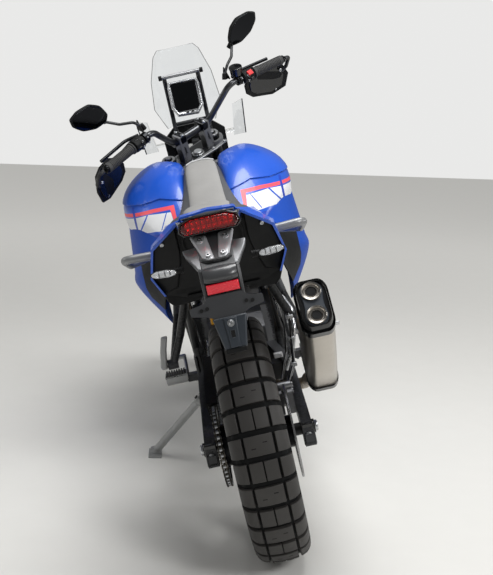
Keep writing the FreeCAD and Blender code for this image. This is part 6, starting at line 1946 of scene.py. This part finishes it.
@dataclass
class UnderTail(SubAssembly):
    """Black inner pans below the cover and the silver grab rails."""

    pan: Outline = ((168, 849), (157, 811), (144, 781), (131, 768), (60, 772), (60, 800), (120, 850))

    def make(self) -> None:
        """Build pans and rails."""
        pans = loft([[(x, y * wide, z + drop) for y, z in self.pan] for x, wide, drop in
                     ((-128, 1.0, 0), (-60, 0.99, -4), (40, 0.93, 4), (120, 0.82, 18))])
        self.piece("inner_pans", pans.paired(), BLACK_PP, bevel=4.0, segments=3)
        rail = tube([(-90, 150, 902), (-95, 232, 906), (40, 230, 868), (190, 160, 856)], 11.0, bend=22)
        self.piece("grab_bars", rail.paired(), RAIL_SILVER, replaces=["grab_rails"])


@dataclass
class FinalDrive(SubAssembly):
    """Chain of single links over both sprockets, axle nuts and chain adjusters."""

    pitch: float = 15.875
    big: float = 104.0
    small: float = 38.0
    middle: float = 104.0
    rear: tuple[float, float] = (0.0, 333.0)
    front: tuple[float, float] = (692.0, 412.0)
    arc_steps: int = 48
    link_end: float = 7.0
    adjuster: float = 133.0

    def course(self) -> list[Vector]:
        """Return the places of the rollers round the loop."""
        span = Vector(self.front) - Vector(self.rear)
        tilt, spread = math.atan2(span.y, span.x), math.acos((self.big - self.small) / span.length)
        path = []
        for centre, radius, start, end in (
                (self.front, self.small, tilt + spread, tilt - spread),
                (self.rear, self.big, tilt - spread, tilt + spread - 2 * math.pi)):
            for step in range(self.arc_steps + 1):
                turn = start + (end - start) * step / self.arc_steps
                path.append(Vector((centre[0] + radius * math.cos(turn),
                                    centre[1] + radius * math.sin(turn), 0)))
        path.append(path[0])
        lengths = [0.0]
        for a, b in zip(path, path[1:]):
            lengths.append(lengths[-1] + (b - a).length)
        count = 2 * round(lengths[-1] / self.pitch / 2)
        places, index = [], 0
        for reach in (lengths[-1] * link / count for link in range(count)):
            while lengths[index + 1] < reach:
                index += 1
            share = (reach - lengths[index]) / (lengths[index + 1] - lengths[index])
            places.append(path[index].lerp(path[index + 1], share))
        return places

    def link(self, here: Vector, there: Vector) -> list[tuple[float, float]]:
        """Return the outline of a link plate.

        Args:
            here: The first roller's place.
            there: The next one's.

        Returns:
            Its corners.
        """
        along = (there - here).normalized()
        across = Vector((-along.y, along.x, 0))
        outline = []
        for centre, side in ((here, -self.link_end), (there, self.link_end)):
            for swing in (math.radians(turn) for turn in (-100, -50, 0, 50, 100)):
                spot = centre + (along * math.cos(swing) + across * math.sin(swing)) * side
                outline.append((spot.x, spot.y))
        return outline

    def roller(self, spot: Vector, half: float, radius: float, sides: int) -> Form:
        """Return a round bar across the chain at a place of its course."""
        return rod((spot.x, self.middle - half, spot.y), (spot.x, self.middle + half, spot.y), radius,
                   sides=sides)

    def make(self) -> None:
        """Build links, rollers, adjusters and nuts."""
        places = self.course()
        plates, rollers = Form(), Form()
        for index, (here, there) in enumerate(zip(places, places[1:] + places[:1])):
            outline = self.link(here, there)
            low = 6.0 if index % 2 else 3.9
            plates.add(prism(outline, self.middle - low - 1.8, self.middle - low))
            plates.add(prism(outline, self.middle + low, self.middle + low + 1.8))
            rollers.add(self.roller(here, 8.6, 3.2, 10)).add(self.roller(here, 3.6, 5.0, 12))
        self.piece("chain_plates", plates, CHAIN_STEEL, smooth=20, replaces=["chain"])
        self.piece("chain_rollers", rollers, ZINC_BOLT, smooth=50)
        y, z = self.adjuster, self.rear[1]
        nuts = joined([bolt((0, 152, z), (0, 1, 0), 15.0, 11.0), rod((-47, y, z), (-66, y, z), 4.5),
                       bolt((-56, y, z), (-1, 0, 0), 8.0, 6.0)])
        self.piece("axle_nuts", nuts.paired(), ZINC_BOLT, bevel=0.6)
        caps = box((-58, y - 17, 302), (-44, y + 17, 364))
        self.piece("adjuster_caps", caps.paired(), BLACK_ABS, bevel=3.0, segments=3)


@dataclass
class RearBrake(SubAssembly):
    """Pipes, clips, calliper lugs and the fluid cup right of the wheel."""

    def make(self) -> None:
        """Build each of them."""
        hoses = tube([(96, -112, 430), (150, -140, 470), (200, -150, 530), (215, -160, 590),
                      (290, -140, 640), (420, -120, 690)], 5.0)
        hoses.add(tube([(120, -96, 440), (190, -128, 500), (230, -138, 560), (300, -128, 640)], 4.0))
        self.piece("brake_hoses", hoses, BLACK_ABS)
        pipe = tube([(210, -118, 440), (206, -150, 500), (214, -166, 560), (260, -172, 600),
                     (340, -150, 640)], 6.0)
        self.piece("brake_pipe", pipe, ZINC_BOLT)
        clip = box((-7, -9, -6), (7, 9, 6))
        clips = joined(clip.moved(x, y, z) for x, y, z in (
            (150, -140, 470), (203, -151, 530), (218, -160, 590), (290, -140, 640), (206, -146, 498)))
        self.piece("hose_clips", clips, CAST_SILVER, bevel=2.0)
        self.piece("fluid_cup", box((250, -118, 468), (268, -92, 482)), PANEL_WHITE, bevel=3.0)
        seats = ((92, 432), (122, 404), (140, 372))
        lugs = joined(rod((x, -82, z), (x, -118, z), 12) for x, z in seats)
        lugs.add(bolts([(x, -118, z) for x, z in seats], (0, -1, 0), 8.5))
        self.piece("calliper_lugs", lugs, CAST_SILVER, bevel=1.2)


@dataclass
class Shock(SubAssembly):
    """Coil spring with seats, damper and gold reservoir between swingarm and frame."""

    top: Point = (666.0, 0.0, 712.0)
    foot: Point = (530.0, 0.0, 436.0)
    spring_radius: float = 30.0
    steps: int = 168
    turn_steps: int = 24

    def make(self) -> None:
        """Build the unit about its own line."""
        top, foot = Vector(self.top), Vector(self.foot)
        line = (top - foot).normalized()
        side = Vector((0, 1, 0))
        front = side.cross(line)
        start = foot + line * 34
        span = (top - foot).length - 78
        coils = []
        for step in range(self.steps + 1):
            turn = 2 * math.pi * step / self.turn_steps
            coils.append(start + line * (span * step / self.steps)
                         + (side * math.cos(turn) + front * math.sin(turn)) * self.spring_radius)
        self.piece("spring", tube(coils, 5.5, bend=0.1, sides=10), GOLD_ANODISED, smooth=60)
        seat, head = start + line * span, start + line * (span + 12)
        body = joined([rod(foot, top, 11), rod(start - line * 14, start, 37), rod(seat, head, 37),
                       rod(head, top, 26), rod(foot - side * 14, foot + side * 14, 16),
                       box((-14, -12, -14), (14, 12, 10)).moved(*foot)])
        self.piece("damper", body, ANODISED_BLACK, bevel=1.2, replaces=["rear_shock"])
        can = start + line * 60 + Vector((-12, 58, 10))
        self.piece("shock_reservoir", rod(can, can + line * 118, 18), GOLD_ANODISED, bevel=2.0)
        pipe = tube([top - line * 50, top - line * 60 + side * 40, can + line * 116], 6.0, bend=16)
        self.piece("reservoir_pipe", pipe, BLACK_ABS)


@dataclass
class Pegs(SubAssembly):
    """Cast passenger hangers with folded pegs, and the riders' toothed pegs."""

    def make(self) -> None:
        """Build hangers and pegs."""
        arms = joined([
            tube([(165, 120, 840), (196, 124, 700), (238, 160, 600), (250, 197, 520)], (13, 11), bend=40),
            tube([(410, 131, 777), (330, 160, 640), (250, 197, 520)], (12, 11), bend=40),
            rod((250, 184, 520), (250, 214, 520), 15), box((578, 147, 325), (672, 155, 435)),
            box((634, 150, 343), (666, 192, 367))])
        self.piece("peg_arms", arms.paired(), FRAME_COAT, bevel=1.0, smooth=45,
                   replaces=["peg_hangers"])
        folded = loft([[(246 + dx, y + dy, z) for dx, dy in ((-12, -10), (12, -10), (12, 9), (-12, 9))]
                       for y, z in ((224, 512), (226, 522), (218, 566), (209, 598), (207, 606))])
        self.piece("folded_pegs", folded.paired(), STAND_GREY, bevel=4.0, segments=3)
        peg = ((625, 351), (629, 364), (629, 374), (671, 374), (671, 364), (660, 344), (640, 344))
        body = loft([[(x, y, z) for x, z in peg] for y in (192, 200, 262)])
        self.piece("peg_bodies", body.paired(), STAND_GREY, bevel=2.5, segments=3)
        teeth = joined(box((624, y - 2.6, 372), (676, y + 2.6, 384))
                       for y in (200 + step * 8.2 for step in range(8)))
        teeth.add(box((624, 194, 371), (676, 263, 377)))
        self.piece("peg_teeth", teeth.paired(), GRIP_RUBBER, bevel=0.8)


# Engine and front end

@dataclass
class Engine(SubAssembly):
    """Bolts and rims on the covers, ribs, filler cap, cooling hoses and the tray's bolts.

    Rows of covers are forward place, face (signed to its side), height, reach of the bolts, count.
    """

    covers: tuple[tuple[float, float, float, float, int], ...] = (
        (875, -170, 403, 77, 10), (875, -182, 403, 53, 6), (955, 166, 405, 69, 8),
        (845, 160, 395, 43, 5))
    case_half: float = 140.0
    tray_height: float = 246.0

    def make(self) -> None:
        """Build each of them."""
        heads, rims = Form(), Form()
        for x, y, z, reach, count in self.covers:
            side = math.copysign(1, y)
            for turn in (2 * math.pi * (step + 0.5) / count for step in range(count)):
                spot = (x + reach * math.cos(turn), y, z + reach * math.sin(turn))
                heads.add(bolt(spot, (0, side, 0), 5.5, 4.5))
            rim = lathe(((y - side, reach - 14), (y + side * 3.5, reach - 13),
                         (y + side * 3.5, reach - 8), (y - side, reach - 6.5)), 64)
            rims.add(rim.moved(x, 0, z))
        self.piece("cover_bolts", heads, ZINC_BOLT, bevel=0.5)
        self.piece("cover_rims", rims, CAST_DARK, bevel=1.0)
        ribs = joined(box((x, self.case_half - 1, low), (x + 6, self.case_half + 4, 498))
                      for x, low in ((786, 300), (1000, 470), (1020, 470), (1036, 440)))
        self.piece("case_ribs", ribs.paired(), CAST_DARK, bevel=1.5)
        self.piece("oil_filler", rod((1002, -139, 476), (1002, -158, 476), (17, 14), sides=12),
                   BLACK_ABS, bevel=1.5)
        hoses = joined(tube(points, 13.0, bend=28) for points in (
            [(1178, -140, 560), (1130, -148, 530), (1090, -128, 480), (1040, -122, 470)],
            [(1178, 140, 680), (1130, 142, 700), (1090, 118, 715), (1030, 100, 720)]))
        self.piece("coolant_hoses", hoses, BLACK_PP)
        clamps = joined(rod((x - 4, y, z), (x + 5, y + 1, z - 4), 14.6) for x, y, z in (
            (1124, -147, 524), (1062, -124, 474), (1120, 140, 703), (1052, 106, 718)))
        self.piece("hose_clamps", clamps, ZINC_BOLT, bevel=0.5)
        z = self.tray_height
        heads = bolts([(x, 150, z) for x in (722, 1052)], (0, 1, 0), 7.0, 4.0)
        self.piece("tray_bolts", heads.paired(), ZINC_BOLT, bevel=0.5)
        holes = joined(rod((x, 149.2, z), (x, 150.4, z), 12) for x in (790, 840, 890, 940, 990))
        self.piece("tray_holes", holes.paired(), SLOT_DARK)


@dataclass
class FrontEnd(SubAssembly):
    """Curved mudguard, seals, axle nuts, lug bolts and brake hoses, in the steering's axes."""

    offset: float = 40.0
    spacing: float = 105.0
    axle: tuple[float, float] = (59.1, 360.5)
    guard_radius: float = 366.0
    guard_half: float = 66.0
    guard_ends: tuple[float, float] = (62.0, -66.0)
    guard_steps: int = 28
    bow_steps: int = 8
    stay_height: float = 682.5

    def make(self) -> None:
        """Build each of them."""
        self.mudguard()
        x, y = self.offset, self.spacing
        seals = rod((x, y, 636), (x, y, 661), (24.5, 29))
        self.piece("fork_seals", seals.paired(), BLACK_ABS, bevel=1.5)
        nuts = bolt((self.axle[0], 127, self.axle[1]), (0, 1, 0), 13.0, 9.0)
        nuts.add(bolts([(76, 122, z) for z in (346, 404)], (0, 1, 0), 5.5, 4.0))
        self.piece("front_axle_nuts", nuts.paired(), ZINC_BOLT, bevel=0.6)
        hose = tube([(-22, 70, 468), (-8, 84, 560), (-2, 88, 780), (6, 60, 930), (18, 34, 1010)], 4.5,
                    bend=50)
        self.piece("front_brake_hoses", hose.paired(), BLACK_ABS)

    def guard_ring(self, share: float) -> list[tuple[float, float, float]]:
        """Return the mudguard's section, narrower to both ends.

        Args:
            share: Share of its arch.

        Returns:
            A ring.
        """
        turn = math.radians(self.guard_ends[0] + (self.guard_ends[1] - self.guard_ends[0]) * share)
        taper = 1 - 0.3 * abs(2 * share - 1) ** 4
        half = [(math.sin(bow) * self.guard_half * taper, 26 * (1 - math.cos(bow)) ** 1.2)
                for bow in (math.pi / 2 * side / self.bow_steps
                            for side in range(-self.bow_steps, self.bow_steps + 1))]
        ring = [(y, self.guard_radius - drop) for y, drop in half]
        ring += [(y * 0.955, self.guard_radius - 4 - drop) for y, drop in half[::-1]]
        return [(self.axle[0] + radius * math.sin(turn), y, self.axle[1] + radius * math.cos(turn))
                for y, radius in ring]

    def mudguard(self) -> None:
        """The mudguard, a soft arch over the tyre, and its stays."""
        arch = loft([self.guard_ring(step / self.guard_steps) for step in range(self.guard_steps + 1)])
        self.piece("mudguard_arch", arch, PLAIN_BLUE, bevel=0.8, smooth=50, replaces=["front_mudguard"])
        stay = box((self.offset - 22, 52, self.stay_height), (self.offset + 22, 77, 722))
        self.piece("mudguard_stays", stay.paired(), BLACK_PP, bevel=2.5)


def sub_assemblies() -> list[Any]:
    """Return every sub-assembly, in the order of building."""
    body, steering = ("chassis", MACHINE.body), ("steering", MACHINE.steering)
    silencer = MACHINE.body.moved(80, -206, 468).turned(219.73, "y")
    return [
        Tyre("front_wheel", MACHINE.front_wheel, "front_tyre", GEOMETRY.front_radius, half_width=45.0,
             bead_half=29.7, bead=267.0, rows=34, centre_half=21.0, channel=4.5, cross_groove=11.0,
             tread_depth=7.0),
        Tyre("rear_wheel", MACHINE.rear_wheel, "rear_tyre", GEOMETRY.rear_radius, half_width=75.0,
             bead_half=55.7, bead=229.0, rows=32, centre_half=36.0),
        Seat(*body), Tank(*body), Tail(*body), Silencer("chassis", silencer), Controls(*steering),
        Nose(*body), SidePanels(*body), Cockpit(*body), UnderTail(*body), FinalDrive(*body),
        RearBrake(*body), Shock(*body), Pegs(*body), Engine(*body), FrontEnd(*steering)]


def main() -> None:
    """Make the studio, dress the frame and build every sub-assembly in order."""
    logging.basicConfig(level=logging.INFO, format="%(message)s")
    bpy.context.scene.view_settings.view_transform = "Standard"
    Photograph().make()
    Studio().make()
    dress_frame()
    for unit in sub_assemblies():
        LOG.info("building %s", type(unit).__name__)
        unit.make()


if __name__ == "__main__":
    main()
